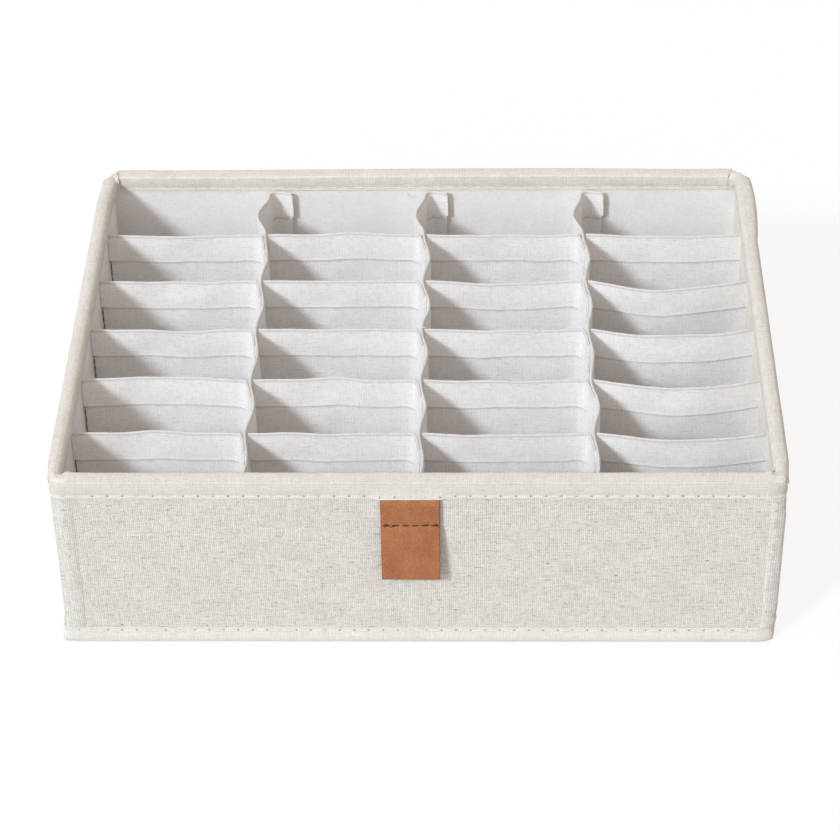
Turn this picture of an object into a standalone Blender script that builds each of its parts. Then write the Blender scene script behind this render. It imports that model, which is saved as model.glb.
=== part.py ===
"""Fabric drawer organizer: a canvas tray with board in its walls, a bound rim and base edge,
three long dividers, five rows of cross dividers and a leather pull tab on the front."""

import math

import bmesh
import bpy
from mathutils import Matrix, Vector

MM = 0.001

# Overall size, measured over the bindings
WIDTH = 320 * MM
DEPTH = 240 * MM
HEIGHT = 94 * MM

# Layers of a wall, and the clearance between pieces that lie against each other
CLEARANCE = 0.3 * MM
CANVAS_THICKNESS = 0.8 * MM
BOARD_THICKNESS = 3.0 * MM
BASE_BOARD_THICKNESS = 2.0 * MM
LINING_THICKNESS = 0.6 * MM

# Binding tape: how far its legs reach down from the rim and up from the base, and its turns
TAPE_THICKNESS = 0.6 * MM
RIM_OUTER_LEG = 9.2 * MM
RIM_INNER_LEG = 8.0 * MM
BASE_LEG = 8.5 * MM
RIM_TURN_RADIUS = 0.8 * MM
BASE_TURN_RADIUS = 2.4 * MM
RIM_INNER_CORNER_RADIUS = 0.6 * MM
UNDER_CORNER_RADIUS = 0.9 * MM

# Rolled seams at the upright corners
SEAM_RADIUS = 1.3 * MM

# Dividers
COLUMNS = 4
ROWS = 6
DIVIDER_THICKNESS = 1.2 * MM
HEM_LAYER = 0.7 * MM
HEM_DEPTH = 15 * MM
WALL_FLANGE = 11 * MM
WALL_FLANGE_RADIUS = 4 * MM
SIDE_FLANGE = 12 * MM
SIDE_FLANGE_RADIUS = 5 * MM
SIDE_FLANGE_CLEARANCE = 0.6 * MM
MIDDLE_LEVEL_SHARE = 0.5
BOW_RISE_POWER = 1.5

# How far a divider's top edge leans out of line at the middle of each cell, as shares of a
# cell's depth. A cross panel leans forward, a long divider to the right.
CROSS_BOW_SHARES = (
    (-0.03, 0.01, 0.045, 0.145),
    (-0.045, -0.01, 0.035, 0.18),
    (0.01, 0.0, 0.025, 0.165),
    (0.03, 0.01, 0.03, 0.19),
    (0.03, 0.0, 0.02, 0.055),
)
LONG_BOW_SHARES = (
    (0.05, 0.07, 0.05, 0.06, 0.05, -0.125),
    (0.05, 0.06, 0.07, 0.085, 0.075, -0.115),
    (0.045, 0.078, 0.045, 0.06, 0.06, -0.11),
)

# Leather pull tab
TAB_WIDTH = 25.6 * MM
TAB_THICKNESS = 1.6 * MM
TAB_OFFSET = -3.1 * MM
TAB_ANCHOR_HEIGHT = 13.2 * MM
TAB_FREE_LENGTH = 28.4 * MM
TAB_STAND_OFF = 3.4 * MM
TAB_CURVE_POWER = 1.6

# Smoothness of curves
QUARTER_STEPS = 4
FREE_STEPS = 3
PANEL_STEPS = 6
TAB_STEPS = 8
CIRCLE_PROFILE_SHARE = 0.5
SHARP_ANGLE = math.radians(40)

# Colours and roughness of the materials
CANVAS_COLOUR = (0.80, 0.77, 0.69)
BOARD_COLOUR = (0.45, 0.36, 0.26)
LINING_COLOUR = (0.80, 0.78, 0.77)
TAPE_COLOUR = (0.86, 0.82, 0.72)
LEATHER_COLOUR = (0.48, 0.14, 0.05)
CLOTH_ROUGHNESS = 0.9
BOARD_ROUGHNESS = 0.8
LEATHER_ROUGHNESS = 0.55

# Places that follow from the sizes
WALL = CANVAS_THICKNESS + BOARD_THICKNESS + LINING_THICKNESS + 2 * CLEARANCE
TAPE_STAND = TAPE_THICKNESS + CLEARANCE
CORNER_RADIUS = WALL + TAPE_STAND + RIM_INNER_CORNER_RADIUS
BODY_X = WIDTH / 2 - TAPE_STAND
BODY_Y = DEPTH / 2 - TAPE_STAND
INSIDE_X = BODY_X - WALL
INSIDE_Y = BODY_Y - WALL
WALL_TOP = HEIGHT - TAPE_STAND
CANVAS_LOW = TAPE_THICKNESS + BASE_TURN_RADIUS
BASE_BOARD_LOW = CANVAS_THICKNESS + CLEARANCE
BASE_BOARD_TOP = BASE_BOARD_LOW + BASE_BOARD_THICKNESS
LAYERS_LOW = BASE_BOARD_TOP + CLEARANCE
FLOOR = LAYERS_LOW + LINING_THICKNESS
DIVIDER_LOW = FLOOR + CLEARANCE
DIVIDER_TOP = HEIGHT - RIM_INNER_LEG - CLEARANCE
COLUMN_PITCH = 2 * INSIDE_X / COLUMNS
ROW_PITCH = 2 * INSIDE_Y / ROWS
HEM_THICKNESS = DIVIDER_THICKNESS + HEM_LAYER
WALL_BEND_Y = INSIDE_Y - CLEARANCE - DIVIDER_THICKNESS / 2 - WALL_FLANGE_RADIUS

RIGHT_ANGLE = math.pi / 2
SIDES = {"front": 0, "right": 1, "back": 2, "left": 3}


def clear_scene():
    for obj in list(bpy.context.scene.objects):
        bpy.data.objects.remove(obj, do_unlink=True)


def finish_of(name, colour, roughness):
    """A plain material of one colour for one piece."""
    material = bpy.data.materials.new(name)
    material.use_nodes = True
    shader = material.node_tree.nodes["Principled BSDF"]
    shader.inputs["Base Color"].default_value = (*colour, 1.0)
    shader.inputs["Roughness"].default_value = roughness
    shader.inputs["Metallic"].default_value = 0.0
    material.diffuse_color = (*colour, 1.0)
    return material


def place_mesh(name, bm, colour, roughness, location=(0, 0, 0), smooth=False):
    """Turns a finished bmesh into a named object with its own material."""
    bmesh.ops.recalc_face_normals(bm, faces=bm.faces[:])
    mesh = bpy.data.meshes.new(name)
    bm.to_mesh(mesh)
    bm.free()
    if smooth:
        mesh.shade_smooth()
        mesh.set_sharp_from_angle(angle=SHARP_ANGLE)
    mesh.materials.append(finish_of(name, colour, roughness))
    obj = bpy.data.objects.new(name, mesh)
    obj.location = location
    bpy.context.scene.collection.objects.link(obj)
    return obj


def arc(centre, radius, start, end, steps=QUARTER_STEPS):
    """Points of an arc in a section's plane, both ends included."""
    points = []
    for step in range(steps + 1):
        angle = start + (end - start) * step / steps
        points.append((centre[0] + radius * math.cos(angle), centre[1] + radius * math.sin(angle)))
    return points


def section_face(bm, section, place):
    """One face from a closed outline, whose points a function places in space."""
    return bm.faces.new([bm.verts.new(place(*point)) for point in section])


def extrude_run(bm, face, run, steps=1):
    """Pulls a face along a straight run in equal steps and returns the far face."""
    for _ in range(steps):
        pulled = bmesh.ops.extrude_face_region(bm, geom=[face, *face.edges])["geom"]
        corners = [item for item in pulled if isinstance(item, bmesh.types.BMVert)]
        bmesh.ops.translate(bm, verts=corners, vec=Vector(run) / steps)
        face = next(item for item in pulled if isinstance(item, bmesh.types.BMFace))
    return face


def spin_run(bm, face, centre, angle, steps=QUARTER_STEPS):
    """Pulls a face round an upright axis and returns the far face."""
    turned = bmesh.ops.spin(
        bm, geom=[face, *face.edges], cent=Vector((centre[0], centre[1], 0)),
        axis=Vector((0, 0, 1)), dvec=Vector((0, 0, 0)), angle=angle, steps=steps, use_merge=False)
    return next(item for item in turned["geom_last"] if isinstance(item, bmesh.types.BMFace))


def side_sizes(side):
    """Half the length of a wall and its distance from the middle, over the canvas."""
    along_x = side in ("front", "back")
    return (BODY_X, BODY_Y) if along_x else (BODY_Y, BODY_X)


def turn_to_side(bm, side):
    """Moves a piece that was made on the front wall round to its own wall."""
    turn = Matrix.Rotation(SIDES[side] * RIGHT_ANGLE, 3, "Z")
    bmesh.ops.rotate(bm, verts=bm.verts[:], cent=Vector((0, 0, 0)), matrix=turn)


def wall_layer(name, side, inset, thickness, half_run, low, top, colour, roughness):
    """A flat layer of a wall, its outer face a given inset behind the canvas face."""
    outer = -side_sizes(side)[1] + inset
    section = [(outer, low), (outer + thickness, low), (outer + thickness, top), (outer, top)]
    bm = bmesh.new()
    face = section_face(bm, section, lambda y, z: (-half_run, y, z))
    extrude_run(bm, face, (2 * half_run, 0, 0))
    turn_to_side(bm, side)
    place_mesh(name, bm, colour, roughness)


def wrapped_run(bm, side, section, corner_angle):
    """Sweeps a wall's section along it and round its two corners. The section's first value
    is its inset behind the canvas face."""
    half, distance = side_sizes(side)
    tangent = half - CORNER_RADIUS
    centre_y = -distance + CORNER_RADIUS
    start = section_face(bm, section, lambda inset, z: (-tangent, -distance + inset, z))
    far = extrude_run(bm, start, (2 * tangent, 0, 0))
    spin_run(bm, far, (tangent, centre_y), corner_angle)
    spin_run(bm, start, (-tangent, centre_y), -corner_angle)
    turn_to_side(bm, side)


def side_canvas(side):
    """The left or right canvas wraps both corners and ends at the rolled seams."""
    section = [
        (0, CANVAS_LOW),
        (CANVAS_THICKNESS, CANVAS_LOW),
        (CANVAS_THICKNESS, WALL_TOP),
        (0, WALL_TOP),
    ]
    bm = bmesh.new()
    wrapped_run(bm, side, section, RIGHT_ANGLE)
    place_mesh(side + "_canvas", bm, CANVAS_COLOUR, CLOTH_ROUGHNESS, smooth=True)


def walls():
    """Canvas, stiffening board and lining of the four walls."""
    board_inset = CANVAS_THICKNESS + CLEARANCE
    lining_inset = board_inset + BOARD_THICKNESS + CLEARANCE
    for side in SIDES:
        half = side_sizes(side)[0]
        lining_half = INSIDE_X - CLEARANCE
        if side in ("left", "right"):
            side_canvas(side)
            lining_half = INSIDE_Y + LINING_THICKNESS
        else:
            wall_layer(side + "_canvas", side, 0, CANVAS_THICKNESS, half - CORNER_RADIUS - CLEARANCE,
                       CANVAS_LOW, WALL_TOP, CANVAS_COLOUR, CLOTH_ROUGHNESS)
        wall_layer(side + "_board", side, board_inset, BOARD_THICKNESS, half - CORNER_RADIUS,
                   LAYERS_LOW, WALL_TOP, BOARD_COLOUR, BOARD_ROUGHNESS)
        wall_layer(side + "_lining", side, lining_inset, LINING_THICKNESS, lining_half,
                   LAYERS_LOW, WALL_TOP, LINING_COLOUR, CLOTH_ROUGHNESS)


def base_layer(name, inset, low, thickness, corner, colour, roughness):
    """A flat layer of the base with rounded corners."""
    bm = bmesh.new()
    size = Matrix.Diagonal((2 * (BODY_X - inset), 2 * (BODY_Y - inset), thickness, 1))
    place = Matrix.Translation((0, 0, low + thickness / 2))
    bmesh.ops.create_cube(bm, size=1, matrix=place @ size)
    if corner:
        upright = []
        for edge in bm.edges:
            first, second = edge.verts
            if abs(first.co.z - second.co.z) > thickness / 2:
                upright.append(edge)
        bmesh.ops.bevel(bm, geom=upright, offset=corner, segments=QUARTER_STEPS, affect="EDGES",
                        profile=CIRCLE_PROFILE_SHARE, material=-1)
    place_mesh(name, bm, colour, roughness)


def base():
    canvas_corner = UNDER_CORNER_RADIUS - CLEARANCE
    board_inset = CANVAS_THICKNESS + CLEARANCE
    base_layer("base_canvas", CORNER_RADIUS - canvas_corner, 0, CANVAS_THICKNESS, canvas_corner,
               CANVAS_COLOUR, CLOTH_ROUGHNESS)
    base_layer("base_board", board_inset, BASE_BOARD_LOW, BASE_BOARD_THICKNESS,
               CORNER_RADIUS - board_inset, BOARD_COLOUR, BOARD_ROUGHNESS)
    base_layer("base_lining", WALL + CLEARANCE, LAYERS_LOW, LINING_THICKNESS, 0,
               LINING_COLOUR, CLOTH_ROUGHNESS)


def mitre_angle():
    """The turn that a binding makes at a corner, short of its neighbour by half the clearance."""
    middle_radius = CORNER_RADIUS + TAPE_STAND - WALL / 2
    return RIGHT_ANGLE / 2 - CLEARANCE / 2 / middle_radius


def top_bindings():
    """Tape folded over the rim: an outer leg, a rounded top and an inner leg."""
    outer = -TAPE_STAND
    inner = WALL + TAPE_STAND
    outer_low = HEIGHT - RIM_OUTER_LEG
    inner_low = HEIGHT - RIM_INNER_LEG
    turn = RIM_TURN_RADIUS + TAPE_THICKNESS
    turn_z = HEIGHT - turn
    outer_centre = (outer + turn, turn_z)
    inner_centre = (inner - turn, turn_z)
    section = [(outer, outer_low)]
    section += arc(outer_centre, turn, math.pi, RIGHT_ANGLE)
    section += arc(inner_centre, turn, RIGHT_ANGLE, 0)
    section += [(inner, inner_low), (inner - TAPE_THICKNESS, inner_low)]
    section += arc(inner_centre, RIM_TURN_RADIUS, 0, RIGHT_ANGLE)
    section += arc(outer_centre, RIM_TURN_RADIUS, RIGHT_ANGLE, math.pi)
    section += [(outer + TAPE_THICKNESS, outer_low)]
    for side in SIDES:
        bm = bmesh.new()
        wrapped_run(bm, side, section, mitre_angle())
        place_mesh(side + "_top_binding", bm, TAPE_COLOUR, CLOTH_ROUGHNESS, smooth=True)


def bottom_bindings():
    """Tape round the lower edge: an outer leg, a rounded turn and a strip under the base."""
    outer = -TAPE_STAND
    turn = BASE_TURN_RADIUS + TAPE_THICKNESS
    centre = (outer + turn, turn)
    under_end = CORNER_RADIUS - UNDER_CORNER_RADIUS
    section = [(outer, BASE_LEG)]
    section += arc(centre, turn, math.pi, math.pi + RIGHT_ANGLE)
    section += [(under_end, 0), (under_end, TAPE_THICKNESS)]
    section += arc(centre, BASE_TURN_RADIUS, math.pi + RIGHT_ANGLE, math.pi)
    section += [(outer + TAPE_THICKNESS, BASE_LEG)]
    for side in SIDES:
        bm = bmesh.new()
        wrapped_run(bm, side, section, mitre_angle())
        place_mesh(side + "_bottom_binding", bm, TAPE_COLOUR, CLOTH_ROUGHNESS, smooth=True)


def corner_seams():
    """The rolled seam where the side canvas meets the front or back canvas."""
    seam_x = BODY_X - CORNER_RADIUS
    seam_y = BODY_Y + CLEARANCE
    low = BASE_LEG + CLEARANCE
    height = HEIGHT - RIM_OUTER_LEG - CLEARANCE - low
    places = {
        "front_left_seam": (-seam_x, -seam_y, math.pi),
        "front_right_seam": (seam_x, -seam_y, math.pi),
        "back_left_seam": (-seam_x, seam_y, 0),
        "back_right_seam": (seam_x, seam_y, 0),
    }
    for name, (x, y, facing) in places.items():
        bm = bmesh.new()
        roll = arc((0, 0), SEAM_RADIUS, facing, facing + math.pi, 2 * QUARTER_STEPS)
        face = section_face(bm, roll, lambda u, v: (u, v, 0))
        extrude_run(bm, face, (0, 0, height))
        place_mesh(name, bm, CANVAS_COLOUR, CLOTH_ROUGHNESS, location=(x, y, low), smooth=True)


def hemmed_section():
    """Upright section of a divider: plain cloth below, a folded hem on the negative side."""
    back = DIVIDER_THICKNESS / 2
    hem_face = -back - HEM_LAYER
    hem_low = DIVIDER_TOP - HEM_DEPTH
    middle = DIVIDER_LOW + (hem_low - DIVIDER_LOW) * MIDDLE_LEVEL_SHARE
    fold = HEM_THICKNESS / 2
    section = [(-back, DIVIDER_LOW), (back, DIVIDER_LOW), (back, middle), (back, hem_low)]
    section += arc((back - fold, DIVIDER_TOP - fold), fold, 0, math.pi)
    section += [(hem_face, hem_low), (-back, hem_low), (-back, middle)]
    return section


def height_share(z):
    """How much of its bow a divider has at this height: none at the floor, all at the top."""
    share = (z - DIVIDER_LOW) / (DIVIDER_TOP - DIVIDER_LOW)
    return share ** BOW_RISE_POWER if share > 0 else 0


def long_bow(index, y, z):
    """How far to the right a long divider leans at this place: nothing at the crossings."""
    cell = min(max(int((y + INSIDE_Y) / ROW_PITCH), 0), ROWS - 1)
    start = -INSIDE_Y + cell * ROW_PITCH
    end = min(start + ROW_PITCH, WALL_BEND_Y)
    wave = (1 - math.cos(2 * math.pi * (y - start) / (end - start))) / 2
    return LONG_BOW_SHARES[index][cell] * ROW_PITCH * wave * height_share(z)


def divider_x(index):
    """Middle of a long divider, counted from 0 at the left."""
    return -INSIDE_X + (index + 1) * COLUMN_PITCH


def long_stations():
    """Places along a long divider where its outline may bend: in each cell the free stretch,
    then the start and the curve of the cross panel's flange, then the crossing."""
    stations = []
    for cell in range(ROWS):
        start = -INSIDE_Y + cell * ROW_PITCH
        if cell == ROWS - 1:
            end = WALL_BEND_Y
            bends = [end]
        else:
            end = start + ROW_PITCH - SIDE_FLANGE
            bends = [end, end + SIDE_FLANGE - SIDE_FLANGE_RADIUS, end + SIDE_FLANGE]
        stations += [start + (end - start) * step / FREE_STEPS for step in range(1, FREE_STEPS)]
        stations += bends
    return stations


def long_dividers():
    """Three strips from front to back, each turned against the back wall in a flange."""
    names = ("long_divider_left", "long_divider_centre", "long_divider_right")
    for index, name in enumerate(names):
        x = divider_x(index)
        reached = -INSIDE_Y + CLEARANCE
        bm = bmesh.new()
        face = section_face(bm, hemmed_section(), lambda u, z: (x - u, reached, z))
        for station in long_stations():
            face = extrude_run(bm, face, (0, station - reached, 0))
            reached = station
        for vert in bm.verts:
            vert.co.x += long_bow(index, vert.co.y, vert.co.z)
        face = spin_run(bm, face, (x + WALL_FLANGE_RADIUS, WALL_BEND_Y), -RIGHT_ANGLE)
        extrude_run(bm, face, (WALL_FLANGE - WALL_FLANGE_RADIUS, 0, 0))
        place_mesh(name, bm, LINING_COLOUR, CLOTH_ROUGHNESS, smooth=True)


def cross_panel(row, column):
    """One cross divider. It leans forward, and its right end turns along the long divider."""
    y = -INSIDE_Y + (row + 1) * ROW_PITCH
    half = DIVIDER_THICKNESS / 2
    left = -INSIDE_X + CLEARANCE
    if column > 0:
        left = divider_x(column - 1) + half + HEM_LAYER + CLEARANCE
    right = INSIDE_X - CLEARANCE
    flanged = column < COLUMNS - 1
    if flanged:
        right = divider_x(column) - 2 * half - SIDE_FLANGE_CLEARANCE - SIDE_FLANGE_RADIUS
    bm = bmesh.new()
    face = section_face(bm, hemmed_section(), lambda u, z: (left, y + u, z))
    face = extrude_run(bm, face, (right - left, 0, 0), PANEL_STEPS)
    bow = CROSS_BOW_SHARES[row][column] * ROW_PITCH
    for vert in bm.verts:
        wave = math.sin(math.pi * (vert.co.x - left) / (right - left))
        vert.co.y -= bow * wave * height_share(vert.co.z)
    if flanged:
        before = set(bm.verts)
        face = spin_run(bm, face, (right, y - SIDE_FLANGE_RADIUS), -RIGHT_ANGLE)
        extrude_run(bm, face, (0, SIDE_FLANGE_RADIUS - SIDE_FLANGE, 0))
        for vert in set(bm.verts) - before:
            vert.co.x += long_bow(column, vert.co.y, vert.co.z)
    name = "cross_divider_row{}_column{}".format(row + 1, column + 1)
    place_mesh(name, bm, LINING_COLOUR, CLOTH_ROUGHNESS, smooth=True)


def cross_dividers():
    for row in range(ROWS - 1):
        for column in range(COLUMNS):
            cross_panel(row, column)


def pull_tab():
    """A leather strip, held above its stitches and free below them."""
    half = TAB_THICKNESS / 2
    hinge_y = -BODY_Y - CLEARANCE - half
    anchor_top = HEIGHT - RIM_OUTER_LEG - CLEARANCE
    hinge_z = anchor_top - TAB_ANCHOR_HEIGHT - CLEARANCE - half
    anchor_low = hinge_z + half + CLEARANCE
    start_x = TAB_OFFSET - TAB_WIDTH / 2

    bm = bmesh.new()
    section = [(-half, anchor_low), (half, anchor_low), (half, anchor_top), (-half, anchor_top)]
    face = section_face(bm, section, lambda u, z: (start_x, hinge_y + u, z))
    extrude_run(bm, face, (TAB_WIDTH, 0, 0))
    place_mesh("pull_tab_anchor", bm, LEATHER_COLOUR, LEATHER_ROUGHNESS)

    front, back = [], []
    for step in range(1, TAB_STEPS + 1):
        share = step / TAB_STEPS
        lean = -TAB_STAND_OFF * share ** TAB_CURVE_POWER
        steepness = TAB_CURVE_POWER * share ** (TAB_CURVE_POWER - 1)
        slope = steepness * TAB_STAND_OFF / TAB_FREE_LENGTH
        drop = -TAB_FREE_LENGTH * share
        front.append((lean - half, drop + half * slope))
        back.append((lean + half, drop - half * slope))
    outline = arc((0, 0), half, 0, math.pi) + front + back[::-1]
    bm = bmesh.new()
    face = section_face(bm, outline, lambda u, z: (-TAB_WIDTH / 2, u, z))
    extrude_run(bm, face, (TAB_WIDTH, 0, 0))
    place_mesh("pull_tab", bm, LEATHER_COLOUR, LEATHER_ROUGHNESS,
               location=(TAB_OFFSET, hinge_y, hinge_z), smooth=True)


clear_scene()
walls()
base()
top_bindings()
bottom_bindings()
corner_seams()
long_dividers()
cross_dividers()
pull_tab()
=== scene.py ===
# %% [markdown]
# # A fabric drawer organizer
# The object is a low tray of stiffened canvas for socks and underwear. Its rim and its lower edge
# are bound with cotton tape, soft cloth dividers make 24 cells, and a leather tab hangs in front.
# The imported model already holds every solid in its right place, so it is loaded first and used
# as a fixed frame: each cloth piece made below stands where its plain solid stands.

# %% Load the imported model
import math

import bmesh
import bpy
from mathutils import Matrix, Vector, noise


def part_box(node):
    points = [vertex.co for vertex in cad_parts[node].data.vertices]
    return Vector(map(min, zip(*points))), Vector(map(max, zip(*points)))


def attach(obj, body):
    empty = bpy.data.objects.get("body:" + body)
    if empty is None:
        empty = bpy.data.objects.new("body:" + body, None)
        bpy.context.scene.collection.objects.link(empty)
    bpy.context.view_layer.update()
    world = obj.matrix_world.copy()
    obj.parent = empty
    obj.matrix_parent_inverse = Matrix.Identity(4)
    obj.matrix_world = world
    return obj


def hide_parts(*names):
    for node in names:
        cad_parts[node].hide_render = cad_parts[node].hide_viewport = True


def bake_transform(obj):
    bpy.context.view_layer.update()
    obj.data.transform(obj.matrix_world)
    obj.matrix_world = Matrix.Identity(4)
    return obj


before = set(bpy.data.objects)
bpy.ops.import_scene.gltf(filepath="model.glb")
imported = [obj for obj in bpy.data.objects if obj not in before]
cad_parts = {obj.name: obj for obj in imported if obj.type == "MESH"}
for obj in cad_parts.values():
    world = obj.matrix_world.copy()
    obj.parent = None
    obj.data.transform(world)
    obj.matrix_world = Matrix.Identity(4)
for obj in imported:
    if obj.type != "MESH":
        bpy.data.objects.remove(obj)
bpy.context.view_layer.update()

# %% [markdown]
# ## Sizes
# A sewn box is planned from the outside in: tape, canvas, board, lining. The numbers are those of
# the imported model, in metres, so that a value can be compared with any box that the frame gives.

# %% Sizes of the tray and its layers
MM = 0.001
WIDTH = 320 * MM
DEPTH = 240 * MM
HEIGHT = 94 * MM
CLEARANCE = 0.3 * MM
CANVAS = 0.8 * MM
LINING = 0.6 * MM
WALL = 5.0 * MM
TAPE = 0.6 * MM
RIM_OUTER_LEG = 9.2 * MM
RIM_INNER_LEG = 8.0 * MM
BASE_LEG = 8.5 * MM
TAPE_STAND = TAPE + CLEARANCE
CORNER_RADIUS = 6.5 * MM
BODY_X = WIDTH / 2 - TAPE_STAND
BODY_Y = DEPTH / 2 - TAPE_STAND
INSIDE_X = BODY_X - WALL
INSIDE_Y = BODY_Y - WALL
CANVAS_LOW = 3.0 * MM
LAYERS_LOW = 3.4 * MM
CLOTH_TOP = 91.5 * MM
CORNER_SHARES = {
    "front_left": (0.8, 0.35, -0.3),
    "front_right": (-0.4, 0.3, -0.3),
    "back_left": (0.0, -0.3, -0.3),
    "back_right": (0.0, -0.2, -0.3),
}
SIDES = {"front": 0, "right": 1, "back": 2, "left": 3}
print("inside", round(2 * INSIDE_X, 4), "by", round(2 * INSIDE_Y, 4))

# %% Sizes of the dividers and the tab
COLUMNS = 4
ROWS = 6
DIVIDER_CLOTH = 0.5 * MM
DIVIDER_HALF = 0.6 * MM
HEM_LAYER = 0.7 * MM
HEM_DEPTH = 15 * MM
DIVIDER_LOW = 4.3 * MM
DIVIDER_TOP = 85.7 * MM
WALL_FLANGE = 11 * MM
WALL_FLANGE_RADIUS = 4 * MM
SIDE_FLANGE = 12 * MM
SIDE_FLANGE_RADIUS = 5 * MM
SIDE_FLANGE_CLEARANCE = 0.6 * MM
COLUMN_PITCH = 2 * INSIDE_X / COLUMNS
ROW_PITCH = 2 * INSIDE_Y / ROWS
WALL_BEND_Y = INSIDE_Y - CLEARANCE - DIVIDER_HALF - WALL_FLANGE_RADIUS
CROSS_BOW_SHARES = (
    (-0.03, 0.01, 0.045, 0.145),
    (-0.045, -0.01, 0.035, 0.18),
    (0.01, 0.0, 0.025, 0.165),
    (0.03, 0.01, 0.03, 0.19),
    (0.03, 0.0, 0.02, 0.055),
)
LONG_BOW_SHARES = (
    (0.05, 0.07, 0.05, 0.06, 0.05, -0.125),
    (0.05, 0.06, 0.07, 0.085, 0.075, -0.115),
    (0.045, 0.078, 0.045, 0.06, 0.06, -0.11),
)
STITCH_PITCH = 6.5 * MM
STITCH_LINE = 1.3 * MM
TAB_WIDTH = 25.6 * MM
TAB_THICKNESS = 1.6 * MM
TAB_X = -3.1 * MM
TAB_FREE_LENGTH = 28.4 * MM
TAB_STAND_OFF = 3.4 * MM
print("cell", round(COLUMN_PITCH, 4), "by", round(ROW_PITCH, 4))

# %% [markdown]
# ## Nodes for cloth
# Woven cloth is two sets of threads that cross. A picture of cloth could be wrapped round the box,
# but a formula stays sharp at any distance. The pattern has to follow the cloth round folds, so
# every cloth mesh carries its own coordinates, in metres along and across the threads, in an
# attribute named cloth. The helpers keep the node code short, because a socket knows its own tree.

# %% Node helpers
def add(tree, kind, sockets=None, **settings):
    """A new node: settings are its own fields, sockets are values or links by name or number."""
    node = tree.nodes.new(kind)
    for key, value in settings.items():
        setattr(node, key, value)
    for socket, value in (sockets or {}).items():
        if isinstance(value, bpy.types.NodeSocket):
            tree.links.new(value, node.inputs[socket])
        else:
            node.inputs[socket].default_value = value
    return node


def join(output, target):
    output.id_data.links.new(output, target)


def tree_of(values):
    """The tree of the first value that is a socket."""
    return next(value.id_data for value in values if isinstance(value, bpy.types.NodeSocket))


def calc(operation, *values):
    """The result of a Math node."""
    node = add(tree_of(values), "ShaderNodeMath", dict(enumerate(values)), operation=operation)
    return node.outputs[0]


def vector(operation, place, other=(0, 0, 0), number=1):
    """The result of a Vector Math node. The other value goes to the socket of that number."""
    node = add(place.id_data, "ShaderNodeVectorMath", {0: place, number: other}, operation=operation)
    return node.outputs[0]


def between(value, low, high, to_low=0.0, to_high=1.0):
    """Turns a range of a value into another range, softly and held at both ends."""
    sockets = {"Value": value, 1: low, 2: high, 3: to_low, 4: to_high}
    node = add(value.id_data, "ShaderNodeMapRange", sockets, interpolation_type="SMOOTHSTEP")
    return node.outputs[0]


def blend_values(*values):
    """A Mix node for numbers: the share, and what it gives at 0 and at 1."""
    sockets = dict(zip((0, 2, 3), values))
    return add(tree_of(values), "ShaderNodeMix", sockets, data_type="FLOAT").outputs[0]


def blend_colours(share, *colours):
    """A Mix node for two colours, each a socket or its red, green and blue."""
    first, second = (c if isinstance(c, bpy.types.NodeSocket) else (*c, 1) for c in colours)
    node = add(share.id_data, "ShaderNodeMix", {0: share, 6: first, 7: second}, data_type="RGBA")
    return node.outputs[2]


def cloudy(place, scale, detail):
    """The outputs of a noise: a value and a colour."""
    sockets = {"Vector": place, "Scale": scale, "Detail": detail}
    return add(place.id_data, "ShaderNodeTexNoise", sockets).outputs


def stretched_noise(place, stretch, scale, detail=2.0):
    """Noise whose grain is drawn out along one way, as a thread is."""
    return cloudy(vector("MULTIPLY", place, stretch), scale, detail)[0]


def start_group(name, vectors, numbers, outputs):
    """An empty node group: its tree, its inputs' values and its outputs' sockets."""
    tree = bpy.data.node_groups.new(name, "ShaderNodeTree")
    for labels, way, kind in ((vectors, "INPUT", "Vector"), (numbers, "INPUT", "Float"),
                              (outputs, "OUTPUT", "Float")):
        for label in labels:
            tree.interface.new_socket(name=label, in_out=way, socket_type="NodeSocket" + kind)
    return tree, tree.nodes.new("NodeGroupInput").outputs, tree.nodes.new("NodeGroupOutput").inputs


# %% [markdown]
# ## The weave group
# In a plain weave each thread goes over one and under the next. A sine gives a thread its round
# back, and a cosine that shifts by one thread at a time says which of the two lies on top. The
# group also gives each thread its own tone, because yarn is never even, and marks slubs, which are
# the thick places in cotton and linen yarn, and flecks of seed that stay in unbleached cotton.

# %% Weave group
weave, got, give = start_group("weave", ["Cloth"], ["Pitch", "Uneven", "Fleck Spacing"],
                               ["Height", "Tone", "Gap", "Rib", "Slub", "Dash", "Fleck"])
SCALE_SOCKET = 3
counted = vector("SCALE", got["Cloth"], calc("DIVIDE", 1.0, got["Pitch"]), SCALE_SOCKET)
drift = vector("SCALE", cloudy(counted, 0.11, 3.0)[1], got["Uneven"], SCALE_SOCKET)
threads = vector("ADD", counted, drift)
split = add(weave, "ShaderNodeSeparateXYZ", {0: threads}).outputs
crowns, overs = [], []
for mine, other, shift in ((0, 1, -0.5), (1, 0, 0.5)):
    turn = calc("MULTIPLY", split[mine], math.pi)
    crown = calc("POWER", calc("ABSOLUTE", calc("SINE", turn)), 0.7)
    order = calc("ADD", calc("FLOOR", split[mine]), shift)
    phase = calc("MULTIPLY", calc("ADD", split[other], order), math.pi)
    crowns.append(crown)
    overs.append(calc("MULTIPLY", crown, calc("MULTIPLY_ADD", calc("COSINE", phase), 0.5, 0.5)))
join(calc("MAXIMUM", *overs), give["Height"])
join(between(calc("SUBTRACT", 1.0, calc("MAXIMUM", *crowns)), 0.2, 0.9), give["Gap"])
join(between(crowns[0], 0.9, 0.1), give["Rib"])
weft_tone = stretched_noise(counted, (0.10, 1.0, 1.0), 1.0)
warp_tone = stretched_noise(counted, (1.0, 0.12, 1.0), 1.0)
yarn_tone = blend_values(calc("GREATER_THAN", overs[1], overs[0]), warp_tone, weft_tone)
whole = vector("FLOOR", threads)
crossing = add(weave, "ShaderNodeTexWhiteNoise", {"Vector": whole}, noise_dimensions="2D").outputs[0]
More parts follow.
